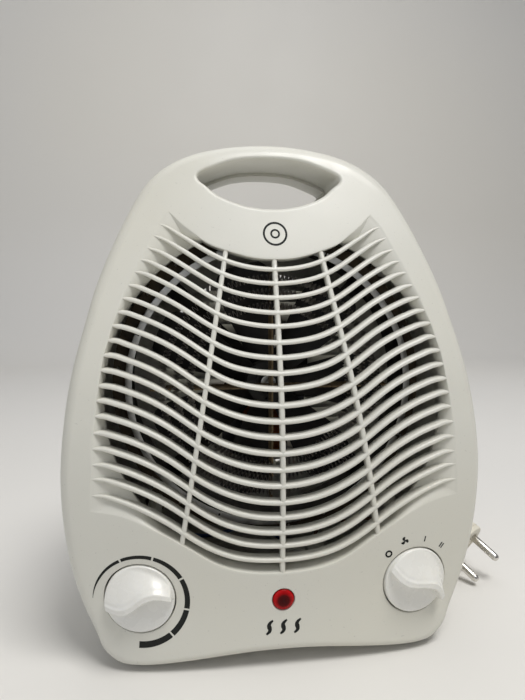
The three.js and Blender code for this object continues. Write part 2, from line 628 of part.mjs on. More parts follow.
// ---------------------------------------------------------------- heating element
// Two boards cross on the fan axis, each slotted to half its depth to take the other.
function micaBoards() {
  const half = BOARD_T / 2;
  const slot = half + GAP;
  const middle = (BOARD_Y0 + BOARD_Y1) / 2;
  const ribbonNotches = RIBBONS.map(([, radius]) =>
    tube(radius - 2.5, radius + 2.5, BOARD_Y0 - 2, RIBBON_Y1 + GAP, 32));
  put('mica_board_vertical', cut(
    box(-half, half, BOARD_Y0, BOARD_Y1, AXIS_Z - BOARD_R, AXIS_Z + BOARD_R),
    ...ribbonNotches,
    box(-3, 3, middle, BOARD_Y1 + 1, AXIS_Z - slot, AXIS_Z + slot)), 'mica');
  put('mica_board_horizontal', cut(
    box(-BOARD_R, BOARD_R, BOARD_Y0, BOARD_Y1, AXIS_Z - half, AXIS_Z + half),
    ...ribbonNotches,
    box(-slot, slot, BOARD_Y0 - 1, middle + GAP, AXIS_Z - 3, AXIS_Z + 3)), 'mica');
}
micaBoards();

// Folded strip bent into a ring, open at the bottom.
function ribbon(radius, folds) {
  const start = -Math.PI / 2 + 7 / radius;
  const end = 1.5 * Math.PI + 2 / radius;
  const count = folds * 2;
  const sections = [];
  for (let k = 0; k <= count; k++) {
    const angle = lerp(start, end, k / count);
    const middle = radius + (k % 2 ? 1 : -1) * RIBBON_FOLD;
    const inner = middle - RIBBON_HALF_T;
    const outer = middle + RIBBON_HALF_T;
    const corner = (r, y) => [r * Math.cos(angle), y, AXIS_Z + r * Math.sin(angle)];
    sections.push([
      corner(inner, RIBBON_Y0), corner(outer, RIBBON_Y0),
      corner(outer, RIBBON_Y1), corner(inner, RIBBON_Y1),
    ]);
  }
  return loft(sections);
}
for (const [name, radius, folds] of RIBBONS) {
  put(`heating_ribbon_${name}`, ribbon(radius, folds), 'ribbon');
}
put('thermal_cutout', box(0.9, 7, -11, -4, AXIS_Z + 28, AXIS_Z + 37), 'bakelite');
put('thermal_fuse', place(cylinder(1.8, 9, 12), -30, -9, AXIS_Z + 3, [0, 0, Math.PI / 2]), 'white');

// ---------------------------------------------------------------- duct ring, baffle, motor mount
// Flat bar reaching outwards from the fan axis at an angle in degrees.
const arm = (angle, r0, r1, halfWidth, y0, y1) => place(
  box(r0, r1, y0, y1, -halfWidth, halfWidth), 0, 0, AXIS_Z, [0, -angle * RAD, 0]);
const arms = (...size) => LUG_ANGLES.map((angle) => arm(angle, ...size));
const lugHoles = (radius, y0, y1, sides) =>
  LUGS.map(([x, z]) => cylinderY(radius, y0, y1, x, z, sides));
const motorBoltHoles = (y0, y1) =>
  [MOTOR_BOLT_X, -MOTOR_BOLT_X].map((x) => cylinderY(2.3, y0, y1, x, AXIS_Z, 12));

function heatShieldRing() {
  const lip = RING_R - 3.7; // inward lip at the front
  const inner = RING_R - RING_T;
  const ring = latheY([
    [lip, RING_Y0], [RING_R, RING_Y0], [RING_R, RING_Y1], [inner, RING_Y1],
    [inner, RING_Y0 + RING_T], [lip, RING_Y0 + RING_T], [lip, RING_Y0],
  ], 0, 0, AXIS_Z, 40);
  // Eight slots round the ring in front of the fan.
  const slots = [];
  for (let i = 0; i < 8; i++) slots.push(arm(-45 * i, RING_R - 6, RING_R + 4, 12, -10.5, -7.5));
  return cut(
    join(ring, ...arms(RING_R - 0.4, ARM_END_R, 5, RING_Y1 - RING_T, RING_Y1)),
    ...lugHoles(1.9, 0, 30, 12), ...slots);
}
put('heat_shield_ring', heatShieldRing(), 'steel');

// Flat collar outside the ring, threaded over the four lug bosses.
put('heat_baffle', cut(
  join(tube(RING_R + 0.8, 87.3, -6, -5, 48), ...arms(86, 98, 6, -6, -5)),
  ...lugHoles(4.4, -8, -3, 14)), 'mica');

put('motor_mount', cut(
  join(
    box(-27, 27, MOUNT_Y0, MOUNT_Y1, AXIS_Z - 12, AXIS_Z + 16),
    ...arms(8, ARM_END_R, 5, MOUNT_Y0, MOUNT_Y1)),
  onAxis(6.5, 10, 30, 20), ...lugHoles(1.9, 0, 30, 12), ...motorBoltHoles(10, 30)), 'steel');

const RING_SCREW_PROFILE = [[0, -14], [1.2, -14], [1.2, 0.3], [3.2, 0.3], [3.2, 1.4], [0, 2.3]];
for (const [i, [x, z]] of LUGS.entries()) {
  put(`ring_screw_${i + 1}`, latheY(RING_SCREW_PROFILE, x, MOUNT_Y1, z, 8), 'zinc');
}

// ---------------------------------------------------------------- shaded-pole motor
// Cross strap with a bearing boss in the middle.
const motorBracket = (strapY0, strapY1, bossY0, bossY1) => cut(
  join(
    box(-CORE_HALF_W, CORE_HALF_W, strapY0, strapY1, AXIS_Z - 6, AXIS_Z + 6),
    onAxis(6, bossY0, bossY1, 20)),
  onAxis(4.9, bossY0 - 1, bossY1 + 1, 20), ...motorBoltHoles(bossY0 - 1, bossY1 + 1));
const bearing = (y0, y1) => tube(SHAFT_BORE, 4.6, y0, y1, 16);
const BRACKET_Y1 = CORE_Y1 + 3.2; // rear of the rear bracket

put('motor_front_bracket',
  motorBracket(MOTOR_Y0, MOTOR_Y0 + 1.3, MOTOR_Y0, MOTOR_Y0 + 3.6), 'steel');
put('front_bearing', bearing(MOTOR_Y0 + 0.2, MOTOR_Y0 + 3.4), 'brass');

// The coil is wound on the bottom limb of the core and fills the window above it.
function statorAndCoil() {
  const bottom = AXIS_Z - 42;
  const windowBottom = AXIS_Z - 33;
  const windowTop = AXIS_Z - 17;
  const windowHalf = 15;
  const slack = 0.4; // between coil and window
  const y0 = CORE_Y0 - 1; // span of the cuts through the core
  const y1 = CORE_Y1 + 1;
  put('stator_core', cut(
    box(-CORE_HALF_W, CORE_HALF_W, CORE_Y0, CORE_Y1, bottom, AXIS_Z + 18),
    onAxis(12.4, y0, y1, 28),
    box(-windowHalf, windowHalf, y0, y1, windowBottom, windowTop),
    ...motorBoltHoles(y0, y1)), 'core');
  const half = windowHalf - slack;
  put('stator_coil', cut(
    box(-half, half, CORE_Y0 - 3, CORE_Y1 + 3, AXIS_Z - 50, windowTop - slack),
    box(-20, 20, CORE_Y0 - GAP, CORE_Y1 + GAP, bottom - GAP, windowBottom + GAP)), 'copper');
}
statorAndCoil();

put('motor_rear_bracket',
  motorBracket(CORE_Y1 + 1.9, BRACKET_Y1, CORE_Y1 + 0.6, BRACKET_Y1), 'steel');
put('rear_bearing', bearing(CORE_Y1 + 0.8, BRACKET_Y1), 'brass');
put('motor_rotor', tube(SHAFT_BORE, 11.8, CORE_Y0 + 0.4, CORE_Y1 - 0.4, 28), 'core');
put('motor_shaft', onAxis(SHAFT_R, FAN_Y0 - 4, CORE_Y1 + 6, 12), 'zinc');

const MOTOR_SCREW_L = CORE_Y1 + 3.6 - RING_Y1; // under the head
const MOTOR_SCREW_PROFILE = [
  [0, 0], [1.9, 0], [1.9, MOTOR_SCREW_L], [3.4, MOTOR_SCREW_L],
  [3.4, MOTOR_SCREW_L + 1.8], [0, MOTOR_SCREW_L + 2.2],
];
for (const [i, x] of [MOTOR_BOLT_X, -MOTOR_BOLT_X].entries()) {
  put(`motor_screw_${i + 1}`, latheY(MOTOR_SCREW_PROFILE, x, RING_Y1, AXIS_Z, 10), 'zinc');
}

// ---------------------------------------------------------------- fan
function blade(rootAngle) {
  return loft(BLADE.map(([radius, pitch, half]) => {
    const across = half * Math.cos(pitch);
    const along = Math.min(6, half * Math.sin(pitch));
    return [[-1, -1], [1, -1], [1, 1], [-1, 1]].map(([u, v]) => {
      const tangent = u * across - v * 0.5 * Math.sin(pitch);
      const angle = rootAngle + tangent / radius;
      const y = (FAN_Y0 + FAN_Y1) / 2 + u * along + v * 0.6;
      return [radius * Math.cos(angle), y, AXIS_Z + radius * Math.sin(angle)];
    });
  }));
}
function fanImpeller() {
  const blades = [];
  for (let i = 0; i < 7; i++) blades.push(blade(2 * Math.PI * i / 7));
  return cut(join(onAxis(HUB_R, FAN_Y0, FAN_Y1, 28), ...blades), onAxis(SHAFT_BORE, -10, 30, 16));
}
put('fan_impeller', fanImpeller(), 'fan');
put('fan_clip', tube(SHAFT_BORE, 4.4, FAN_Y0 - 1.6, FAN_Y0 - 0.4, 16), 'zinc');

// ---------------------------------------------------------------- supply
const RELIEF_BORE = CORD_R + 0.6;
put('strain_relief', latheY([
  [RELIEF_BORE, 49], [8.6, 49], [8.6, 53.6], [5.9, 53.6], [5.9, 58.6], [7.8, 58.6],
  [7.8, 60.2], [6, 62], [5.4, 71], [RELIEF_BORE, 71], [RELIEF_BORE, 49],
], CORD_X, 0, CORD_Z, 12), 'cord');

// Plug frame: Y along the pins from the plug's face, X from one pin to the other.
const pinDirection = new THREE.Vector3(0.5, -0.73, -0.47).normalize();
const pinSide = new THREE.Vector3(0.71, 0.257, 0.656);
pinSide.addScaledVector(pinDirection, -pinSide.dot(pinDirection)).normalize();
const pinUp = new THREE.Vector3().crossVectors(pinDirection, pinSide);
const plugFrame = new THREE.Matrix4()
  .makeBasis(pinSide, pinDirection, pinUp)
  .setPosition(133, 16.5, 18.4);
const inPlug = (geometry) => geometry.applyMatrix4(plugFrame);
const plugBore = (radius, x, y) => inPlug(cylinder(radius, 12, 12).translate(x, y, 0));

const PLUG_PROFILE = [
  [0, -36], [5.2, -36], [6.6, -30], [10, -22], [14.8, -14], [17, -6], [17.4, -1], [16.6, 0],
  [0, 0],
];
put('plug_body', cut(
  inPlug(lathe(PLUG_PROFILE, 18).scale(1, 1, 0.86)),
  plugBore(CORD_R + 0.55, 0, -36),
  plugBore(PIN_R + GAP, PIN_X, -2), plugBore(PIN_R + GAP, -PIN_X, -2)), 'cord');

const PIN_PROFILE = [
  [0, -7.5], [PIN_R, -7.5], [PIN_R, PIN_L - 2], [PIN_R * 0.8, PIN_L - 0.6], [0, PIN_L],
];
for (const [i, x] of [PIN_X, -PIN_X].entries()) {
  put(`plug_pin_${i + 1}`, inPlug(lathe(PIN_PROFILE, 14).translate(x, 0, 0)), 'zinc');
}

// The cord drops to the table behind the heater and ends straight along the plug's axis.
const cordTail = [-54, -46, -38, -31].map((y) =>
  new THREE.Vector3(0, y, 0).applyMatrix4(plugFrame).toArray());
put('power_cord', rod([
  [CORD_X, 40, CORD_Z], [CORD_X, 52, CORD_Z], [CORD_X, 64, CORD_Z], [CORD_X, 73, CORD_Z],
  [47, 84, 19.5], [56, 94, 9.5], [70, 100, 4.2], [88, 100, 4.2], [101, 88, 13], ...cordTail,
], CORD_R, 30, 8), 'cord');

const TERMINAL_Z = 19.5;
const LIVE_X = 33;
const NEUTRAL_X = 19;
put('terminal_block', cut(
  box(12, 40, 14, 26, 14, 25),
  cylinderY(2, 10, 30, NEUTRAL_X, TERMINAL_Z, 12),
  cylinderY(2, 10, 30, LIVE_X, TERMINAL_Z, 12)), 'white');
put('wire_live', rod([
  [LIVE_X, 30, TERMINAL_Z], [40, 34, 34], [52, 10, 44], [62, -8, 52], [66, -16.5, 48],
], 1.1, 16, 6), 'bakelite');
put('wire_neutral', rod([
  [NEUTRAL_X, 30, TERMINAL_Z], [0, 36, 30], [-40, 10, 40], [-60, -10, 50], [-66, -19, 46],
], 1.1, 16, 6), 'blue');

// ---------------------------------------------------------------- move the origin
const bounds = new THREE.Box3().setFromObject(heater);
heater.position.set(
  -(bounds.min.x + bounds.max.x) / 2, -(bounds.min.y + bounds.max.y) / 2, -bounds.min.z);
export default heater;
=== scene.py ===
"""Upright domestic fan heater, with its cord and plug, built over its CAD pieces.

The grille and the two controls face -Y, +X is to the right seen from there and +Z is up. The
feet stand on z = 0. Shapes are drawn in millimetres about the middle of the four feet, and
to_frame() takes them to the metres of the CAD. "Front" is smaller y, "back" is larger y.
A body is a pair (verts, faces) of a closed mesh; an outline is a closed list of x, z points.
"""
import math

import bmesh
import bpy
import numpy as np
from mathutils import Matrix, Vector


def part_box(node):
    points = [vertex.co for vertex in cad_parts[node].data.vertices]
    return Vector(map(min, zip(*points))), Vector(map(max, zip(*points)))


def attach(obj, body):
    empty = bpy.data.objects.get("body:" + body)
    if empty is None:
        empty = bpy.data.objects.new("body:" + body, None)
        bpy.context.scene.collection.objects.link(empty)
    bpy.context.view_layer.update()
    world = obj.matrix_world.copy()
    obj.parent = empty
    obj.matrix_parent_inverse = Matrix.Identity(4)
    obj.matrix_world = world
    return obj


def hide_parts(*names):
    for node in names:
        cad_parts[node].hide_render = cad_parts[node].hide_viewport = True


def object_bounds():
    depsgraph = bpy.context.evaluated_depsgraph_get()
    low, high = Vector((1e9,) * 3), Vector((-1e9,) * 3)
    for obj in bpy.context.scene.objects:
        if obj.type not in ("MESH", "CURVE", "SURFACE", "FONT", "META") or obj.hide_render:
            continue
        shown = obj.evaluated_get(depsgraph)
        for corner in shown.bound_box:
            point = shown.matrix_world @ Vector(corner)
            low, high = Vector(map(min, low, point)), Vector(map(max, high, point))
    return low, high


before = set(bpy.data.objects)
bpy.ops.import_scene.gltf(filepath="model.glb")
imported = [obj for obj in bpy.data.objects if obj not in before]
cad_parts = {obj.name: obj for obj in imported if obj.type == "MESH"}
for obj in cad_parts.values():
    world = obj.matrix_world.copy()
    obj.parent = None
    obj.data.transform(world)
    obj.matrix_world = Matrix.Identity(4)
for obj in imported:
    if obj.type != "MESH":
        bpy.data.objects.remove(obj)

CAD_LO, CAD_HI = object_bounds()

# ------------------------------------------------------------------ dimensions (mm)
FEET = [(73, -36), (-73, -36), (73, 38), (-73, 38)]  # x, y

WALL = 2.4  # thickness of the covers
GAP = 0.3  # gap at the seam between the covers
RIM = 5.5  # rounding of the front cover's edge
REAR_ROUND = 9  # rounding of the rear cover's edge
REAR_Y, REAR_LEAN = 58.0, 0.045  # rear plane: depth at z = 20, and lean per mm of height
SEAM_Y, SEAM_LEAN = -20.0, 0.19  # seam plane: depth at z = 0, and lean per mm of height
AXIS_Z = 135.0  # height of the fan axis, which runs along Y at x = 0
WINDOW_Z, WINDOW_R = 135.9, 85.9  # round hole behind the louvre slats
SLAT_DEPTH, SLAT_THICK, SLAT_STEP = 6.5, 2.4, 5.0
BAR_TOP, BAR_BOTTOM = (24.9, 209.0), (48.4, 67.6)  # x, z of the slanted bars' ends
KNOB_X, KNOB_Z, KNOB_R = 69.8, 38.4, 17.1
WELL_R, WELL_DEPTH = 17.8, 9.0  # recesses that the knobs sit in
LENS_X, LENS_Z, LENS_R = 0.3, 35.4, 5.4
GRILLE_R, LOUVRE_PITCH, LOUVRE_DEPTH, LOUVRE_THICK = 66.0, 7.2, 7.0, 2.1  # rear grille
RING_R, RING_FRONT, RING_BACK = 79.5, -14.0, 19.0  # sheet ring round the fan
BOARD_R, BOARD_FRONT, BOARD_BACK = 66.0, -17.0, -3.0  # crossed mica boards
RIBBON_R, RIBBON_FRONT, RIBBON_BACK = (45.0, 52.5, 60.0), -14.0, -7.0
FAN_FRONT, FAN_BACK, HUB_R, SHAFT_R = 1.0, 14.0, 13.0, 1.6
MOTOR_FRONT, CORE_FRONT, CORE_BACK = RING_BACK + 1.8, RING_BACK + 6.0, RING_BACK + 19.0
MOTOR_SCREW_X = 21
CORD_X, CORD_Z, CORD_R = 45.0, 24.0, 3.2
CASE_SCREWS = [(78, 18.5), (-78, 18.5), (52, 238), (-52, 238)]  # x, z
LUG_R, LUG_ANGLES = 92.0, (45, 135, 225, 315)
LUGS = [(LUG_R * math.cos(math.radians(a)), AXIS_Z + LUG_R * math.sin(math.radians(a)))
        for a in LUG_ANGLES]

# Front face every 10 mm of height from z = 0: depth y on the centre line, and the rise in y
# at x = 100 (it grows with the square of x).
FACE_DEPTH = [
    -57.17, -55.85, -54.82, -54.27, -54.31, -54.73, -55.31, -55.92, -56.4, -56.61,
    -56.42, -55.77, -54.62, -52.89, -50.53, -47.57, -44.11, -40.3, -36.26, -32.11,
    -27.93, -23.77, -19.68, -15.63, -11.64, -7.7, -3.82, 0.02]
FACE_RISE = [
    9.99, 10.26, 10.18, 10.06, 9.94, 9.88, 9.86, 9.87, 9.92, 9.96, 10, 10.04, 10.1, 10.16,
    9.69, 9.08, 8.39, 7.66, 6.91, 6.36, 5.8, 5.23, 4.75, 4.67, 4.59, 4.5, 4.42, 4.34]

# Right half of the case, bottom to top: x, z.
OUTLINE = [
    (0, 8.2), (17.9, 7.6), (37.1, 5.7), (58.6, 3.4), (73.3, 2.8), (81, 4.1), (85.9, 7.1),
    (89.6, 11.2), (92, 17), (94.6, 22.9), (97.9, 30.3), (101.3, 40.5), (104.3, 53.5),
    (106.2, 68.6), (107.1, 85), (107, 100.2), (105.8, 116.3), (104.1, 131.4), (101.7, 145.7),
    (98.6, 159.6), (95.1, 173.4), (91.6, 187.3), (87.2, 200.8), (82, 214.1), (76.9, 226.1),
    (72.7, 234.8), (67.9, 243.2), (61.8, 250.6), (54.2, 256.7), (43.8, 262.1), (30.3, 266),
    (16.4, 268.3), (0, 269.2)]

# Right half of the louvred field, in three runs that meet at its corners: x, z.
CORNER_LOW, CORNER_HIGH = (91.5, 83), (54, 228.6)
FIELD_BOTTOM = [
    (0, 49.3), (10.8, 49.8), (21, 51.3), (31.1, 54.8), (41, 60.9), (50.8, 67.2), (60.8, 73.1),
    (70.8, 78.3), (81.3, 81.8), CORNER_LOW]
FIELD_SIDE = [
    CORNER_LOW, (91.3, 90.5), (90.8, 98.5), (90.4, 105.4), (90.4, 112.8), (89.9, 120.3),
    (88.9, 128.1), (88.2, 135.3), (87.2, 142.3), (86.2, 149.6), (85, 156.6), (83.1, 163.5),
    (81.3, 170.7), (79, 177.2), (76.7, 184.2), (74, 190.5), (71.1, 197.3), (68.3, 203.4),
    (65.2, 209.6), (62.2, 216.1), (59.1, 222.2), CORNER_HIGH]
FIELD_TOP = [
    CORNER_HIGH, (46.2, 221), (40.8, 216.9), (35.5, 212.8), (30.2, 210.3), (20, 206.9),
    (9.8, 204.5), (0, 203.9)]

# Right half of the opening through the top of the case, top to bottom: x, z.
OPENING = [
    (0, 260.3), (10.3, 259.9), (20.7, 258.2), (31, 254.5), (36.2, 252.2), (39.2, 249.3),
    (38.2, 246.7), (36.2, 245.1), (31, 240.4), (25.9, 237.2), (20.7, 235), (15.5, 233.2),
    (10.3, 232.1), (0, 231.2)]

# Louvre slats, bottom to top: height of the centre line every SLAT_STEP from the middle
# outwards, then x, z of the tip.
SLATS = [
    ([55.8, 55.8, 56.1, 56.6, 57.4, 58.7, 60.6, 62.9, 65.9, 69.2, 73.0, 76.4, 79.5, 82.2, 84.7,
      86.8, 88.6, 90.0], (91.3, 90.5)),
    ([63.2, 63.3, 63.6, 64.3, 65.3, 67.0, 69.1, 71.8, 75.0, 78.6, 82.2, 85.7, 88.5, 91.0, 93.2,
      95.1, 96.7, 98.1], (90.8, 98.5)),
    ([70.1, 70.2, 70.5, 71.4, 72.5, 74.2, 76.3, 79.0, 82.1, 85.8, 89.4, 92.7, 95.6, 98.1, 100.3,
      102.3, 103.8, 105.1], (90.3, 105.3)),
    ([77.7, 77.8, 78.2, 79.1, 80.3, 82.1, 84.2, 86.8, 89.9, 93.5, 97.1, 100.4, 103.4, 105.9,
      108.0, 109.8, 111.3, 112.7], (90.5, 112.8)),
    ([85.3, 85.5, 86.0, 86.8, 88.1, 89.8, 92.0, 94.5, 97.5, 100.8, 104.8, 108.0, 110.9, 113.3,
      115.5, 117.3, 118.7, 120.0], (90.0, 120.3)),
    ([93.6, 93.7, 94.2, 95.2, 96.4, 98.1, 100.2, 102.7, 105.8, 109.2, 112.8, 116.1, 118.9, 121.4,
      123.4, 125.2, 126.6, 127.9], (88.9, 128.1)),
    ([101.4, 101.6, 102.1, 102.9, 104.2, 105.9, 107.9, 110.4, 113.3, 116.9, 120.4, 123.6, 126.4,
      128.8, 130.8, 132.6, 134.0, 135.2], (88.3, 135.3)),
    ([109.2, 109.3, 109.9, 110.7, 112.0, 113.6, 115.6, 118.1, 121.0, 124.4, 128.0, 131.1, 133.9,
      136.3, 138.2, 140.0, 141.4], (87.1, 142.3)),
    ([116.9, 117.1, 117.5, 118.4, 119.7, 121.2, 123.3, 125.8, 128.6, 132.0, 135.5, 138.6, 141.3,
      143.6, 145.6, 147.2, 148.7], (86.2, 149.6)),
    ([124.5, 124.6, 125.1, 126.0, 127.1, 128.8, 130.8, 133.2, 136.1, 139.4, 142.8, 145.9, 148.6,
      150.9, 152.9, 154.6, 156.2], (85.0, 156.6)),
    ([132.0, 132.1, 132.6, 133.4, 134.6, 136.2, 138.2, 140.6, 143.4, 146.7, 150.3, 153.3, 155.9,
      158.2, 160.1, 161.9, 163.5], (83.1, 163.5)),
    ([139.8, 139.9, 140.4, 141.2, 142.3, 143.9, 146.2, 149.1, 152.3, 155.7, 158.9, 161.7, 164.0,
      166.2, 168.0, 169.6], (81.3, 170.7)),
    ([147.2, 147.4, 147.8, 148.7, 149.6, 151.2, 153.5, 156.4, 159.6, 163.1, 166.2, 168.9, 171.3,
      173.4, 175.3, 176.9], (79.0, 177.2)),
    ([154.6, 154.7, 155.2, 155.9, 157.0, 158.6, 160.8, 163.8, 167.0, 170.3, 173.5, 176.2, 178.6,
      180.7, 182.6], (76.8, 184.2)),
    ([161.9, 162.0, 162.5, 163.3, 164.3, 166.0, 168.3, 171.0, 174.3, 177.5, 180.7, 183.4, 185.8,
      188.0, 189.9], (74.0, 190.5)),
    ([169.8, 169.9, 170.3, 171.2, 172.2, 173.8, 176.0, 178.8, 182.1, 185.3, 188.4, 191.2, 193.6,
      195.9], (71.1, 197.3)),
    ([176.5, 176.7, 177.2, 177.9, 179.0, 180.6, 182.8, 185.6, 188.9, 192.2, 195.2, 198.1, 200.7,
      202.8], (68.3, 203.4)),
    ([184.0, 184.1, 184.5, 185.3, 186.4, 188.0, 190.2, 193.1, 196.2, 199.5, 202.7, 205.8, 208.1],
     (65.2, 209.6)),
    ([191.3, 191.4, 191.9, 192.7, 193.8, 195.5, 197.7, 200.5, 203.7, 207.2, 210.3, 213.3],
     (62.2, 216.2)),
    ([198.6, 198.7, 199.2, 200.1, 201.3, 203.1, 205.2, 208.1, 211.2, 214.5, 217.6, 220.7],
     (59.1, 222.2)),
]

# The CAD's first foot fixes the drawing's origin in the frame, in metres.
foot_lo, foot_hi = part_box("foot_1")[0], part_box("foot_1")[1]
ORIGIN = np.array([(foot_lo.x + foot_hi.x) / 2 - FEET[0][0] / 1000,
                   (foot_lo.y + foot_hi.y) / 2 - FEET[0][1] / 1000, foot_lo.z])


def to_frame(points):
    """Drawing millimetres to frame metres."""
    return np.asarray(points, float) * 0.001 + ORIGIN


# ------------------------------------------------------------------ curves
def spline(xs, ys, mirrored=False):
    """Natural cubic spline as a function of arrays; mirrored repeats the data about x = 0."""
    xs, ys = np.asarray(xs, float), np.asarray(ys, float)
    if mirrored:
        xs, ys = np.concatenate([-xs[:0:-1], xs]), np.concatenate([ys[:0:-1], ys])
    count, step = len(xs), np.diff(xs)
    system, load = np.eye(count), np.zeros(count)
    for i in range(1, count - 1):
        system[i, i - 1:i + 2] = step[i - 1], 2 * (step[i - 1] + step[i]), step[i]
        load[i] = 6 * ((ys[i + 1] - ys[i]) / step[i] - (ys[i] - ys[i - 1]) / step[i - 1])
    bend = np.linalg.solve(system, load)

    def value(x):
        x = np.asarray(x, float)
        i = np.clip(np.searchsorted(xs, x) - 1, 0, count - 2)
        left, right, width = x - xs[i], xs[i + 1] - x, step[i]
        return ((bend[i] * right**3 + bend[i + 1] * left**3) / (6 * width)
                + (ys[i] / width - bend[i] * width / 6) * right
                + (ys[i + 1] / width - bend[i + 1] * width / 6) * left)

    return value


def chords(points):
    """Running length along a polyline."""
    return np.concatenate([[0], np.cumsum(np.linalg.norm(np.diff(points, axis=0), axis=1))])


def even_points(points, first, last, samples, count):
    """Evenly spaced points on a spline through points, between two of them."""
    chord = chords(points)
    curves = [spline(chord, column) for column in points.T]

    def at(distance):
        return np.stack([curve(distance) for curve in curves], 1)

    fine = np.linspace(chord[first], chord[last], samples)
    length = chords(at(fine))
    return at(np.interp(np.linspace(0, length[-1], count), length, fine))


def path(points, count):
    return even_points(np.asarray(points, float), 0, -1, count * 8, count)


def closed_outline(half, count):
    """Smooth closed outline from its right half, whose ends lie on x = 0."""
    half = np.asarray(half, float)
    whole = np.concatenate([half, (half[1:-1] * [-1, 1])[::-1]])
    wrapped = np.concatenate([whole[-4:], whole, whole[:5]])
    return even_points(wrapped, 4, 4 + len(whole), count * 10 + 1, count + 1)[:-1]


def tangents(points):
    slope = np.gradient(points, axis=0)
    return slope / np.linalg.norm(slope, axis=1)[:, None]


face_depth = spline(np.arange(28) * 10, FACE_DEPTH)
face_rise = spline(np.arange(28) * 10, FACE_RISE)


def face_y(x, z):
    return face_depth(z) + face_rise(z) * (np.asarray(x) / 100) ** 2


def face_step(x, z, dx, dz):
    """Change of face depth for a small step, kept linear so that a section stays symmetric."""
    slope_z = face_y(x, z + 0.5) - face_y(x, z - 0.5)
    slope_x = face_y(x + 0.5, z) - face_y(x - 0.5, z)
    return slope_x * dx + slope_z * dz


def seam_y(z):
    return SEAM_Y + SEAM_LEAN * np.asarray(z)


def rear_y(z):
    return REAR_Y - REAR_LEAN * (np.asarray(z) - 20)


def rear_surface(x, z):
    return rear_y(z)


def radius_by_angle(points):
    """Radius about the fan axis as a function of angle, from a dense closed outline."""
    angle = np.arctan2(points[:, 1] - AXIS_Z, points[:, 0])
    radius = np.hypot(points[:, 0], points[:, 1] - AXIS_Z)
    order = np.argsort(angle)
    angle, radius = angle[order], radius[order]
    angle = np.concatenate([angle[-3:] - 2 * math.pi, angle, angle[:3] + 2 * math.pi])
    radius = np.concatenate([radius[-3:], radius, radius[:3]])
    return lambda a: np.interp((np.asarray(a) + math.pi) % (2 * math.pi) - math.pi, angle, radius)


case_radius = radius_by_angle(closed_outline(OUTLINE, 900))
field_half = np.concatenate(
    [path(FIELD_BOTTOM, 160), path(FIELD_SIDE, 260)[1:], path(FIELD_TOP, 160)[1:]])
field_radius = radius_by_angle(
    np.concatenate([field_half, (field_half[1:-1] * [-1, 1])[::-1]]))
opening = closed_outline(OPENING, 200)


def window_radius(angle):
    rise = np.sin(angle) * (WINDOW_Z - AXIS_Z)
    radius = rise + np.sqrt(rise * rise + WINDOW_R**2 - (WINDOW_Z - AXIS_Z) ** 2)
    return np.minimum(radius, field_radius(angle) - 0.8)


def directions(count):
    """Angles evenly spaced along the case outline, hitting the field's corners exactly."""
    points = closed_outline(OUTLINE, count)
    angles = np.sort(np.arctan2(points[:, 1] - AXIS_Z, points[:, 0]))
    for x, z in (CORNER_HIGH, CORNER_LOW):
        for side in (1, -1):
            corner = math.atan2(z - AXIS_Z, side * x)
            angles[np.argmin(np.abs(angles - corner))] = corner
    return np.sort(angles)


def polar(angles, radius):
    return np.stack([radius * np.cos(angles), AXIS_Z + radius * np.sin(angles)], 1)


def in_depth(outline, depth):
    """3D points from x, z points; depth is a number, an array or a function of x and z."""
    x, z = np.asarray(outline, float).T
    y = depth(x, z) if callable(depth) else np.zeros(len(x)) + depth
    return np.stack([x, y, z], 1)


def circle(radius, x=0, z=0, count=48):
    angle = np.linspace(0, 2 * math.pi, count, endpoint=False)
    return np.stack([x + radius * np.cos(angle), z + radius * np.sin(angle)], 1)


def offset(outline, distance):
    """Closed outline moved out along its normals."""
    x, z = outline.T
    along = np.roll(outline, -1, 0) - np.roll(outline, 1, 0)
    along /= np.linalg.norm(along, axis=1)[:, None]
    normal = np.stack([along[:, 1], -along[:, 0]], 1)
    area = 0.5 * np.sum(x * np.roll(z, -1) - np.roll(x, -1) * z)
    return outline + normal * distance * (1 if area > 0 else -1)


# ------------------------------------------------------------------ placing
def transform(points, matrix):
    return np.asarray(points, float) @ matrix[:3, :3].T + matrix[:3, 3]


def moved(body, matrix):
    return transform(body[0], matrix), body[1]


def shift(x=0, y=0, z=0):
    matrix = np.eye(4)
    matrix[:3, 3] = x, y, z
    return matrix


def turn(axis, angle):
    """Right-handed rotation about an axis through the origin."""
    i, j = {"X": (1, 2), "Y": (2, 0), "Z": (0, 1)}[axis]
    matrix = np.eye(4)
    matrix[i, i] = matrix[j, j] = math.cos(angle)
    matrix[i, j], matrix[j, i] = -math.sin(angle), math.sin(angle)
    return matrix


ON_AXIS = shift(0, 0, AXIS_Z)


def around(degrees):
    """Onto the fan axis, turned about it."""
    return ON_AXIS @ turn("Y", math.radians(degrees))


# ------------------------------------------------------------------ bodies
def solid(verts, faces):
    """Closed body with its faces turned outwards."""
    verts = np.asarray(verts, float)
    faces = [tuple(face) for face in faces]
    volume = 0.0
    for face in faces:
        for i in range(1, len(face) - 1):
            volume += float(np.dot(verts[face[0]],
                                   np.cross(verts[face[i]], verts[face[i + 1]])))
    return verts, faces if volume > 0 else [face[::-1] for face in faces]


def sweep(sections, closed=False):
    """Sections (rows, columns, 3) joined in a row and capped, or joined round into a ring."""
    sections = np.asarray(sections, float)
    rows, columns = sections.shape[:2]
    i, j = np.meshgrid(np.arange(rows if closed else rows - 1), np.arange(columns),
                       indexing="ij")
    this, after, side = i * columns, (i + 1) % rows * columns, (j + 1) % columns
    faces = np.stack([this + j, after + j, after + side, this + side], -1)
    faces = faces.reshape(-1, 4).tolist()
    if not closed:
        faces += [range(columns), range(rows * columns - 1, (rows - 1) * columns - 1, -1)]
    return solid(sections.reshape(-1, 3), faces)


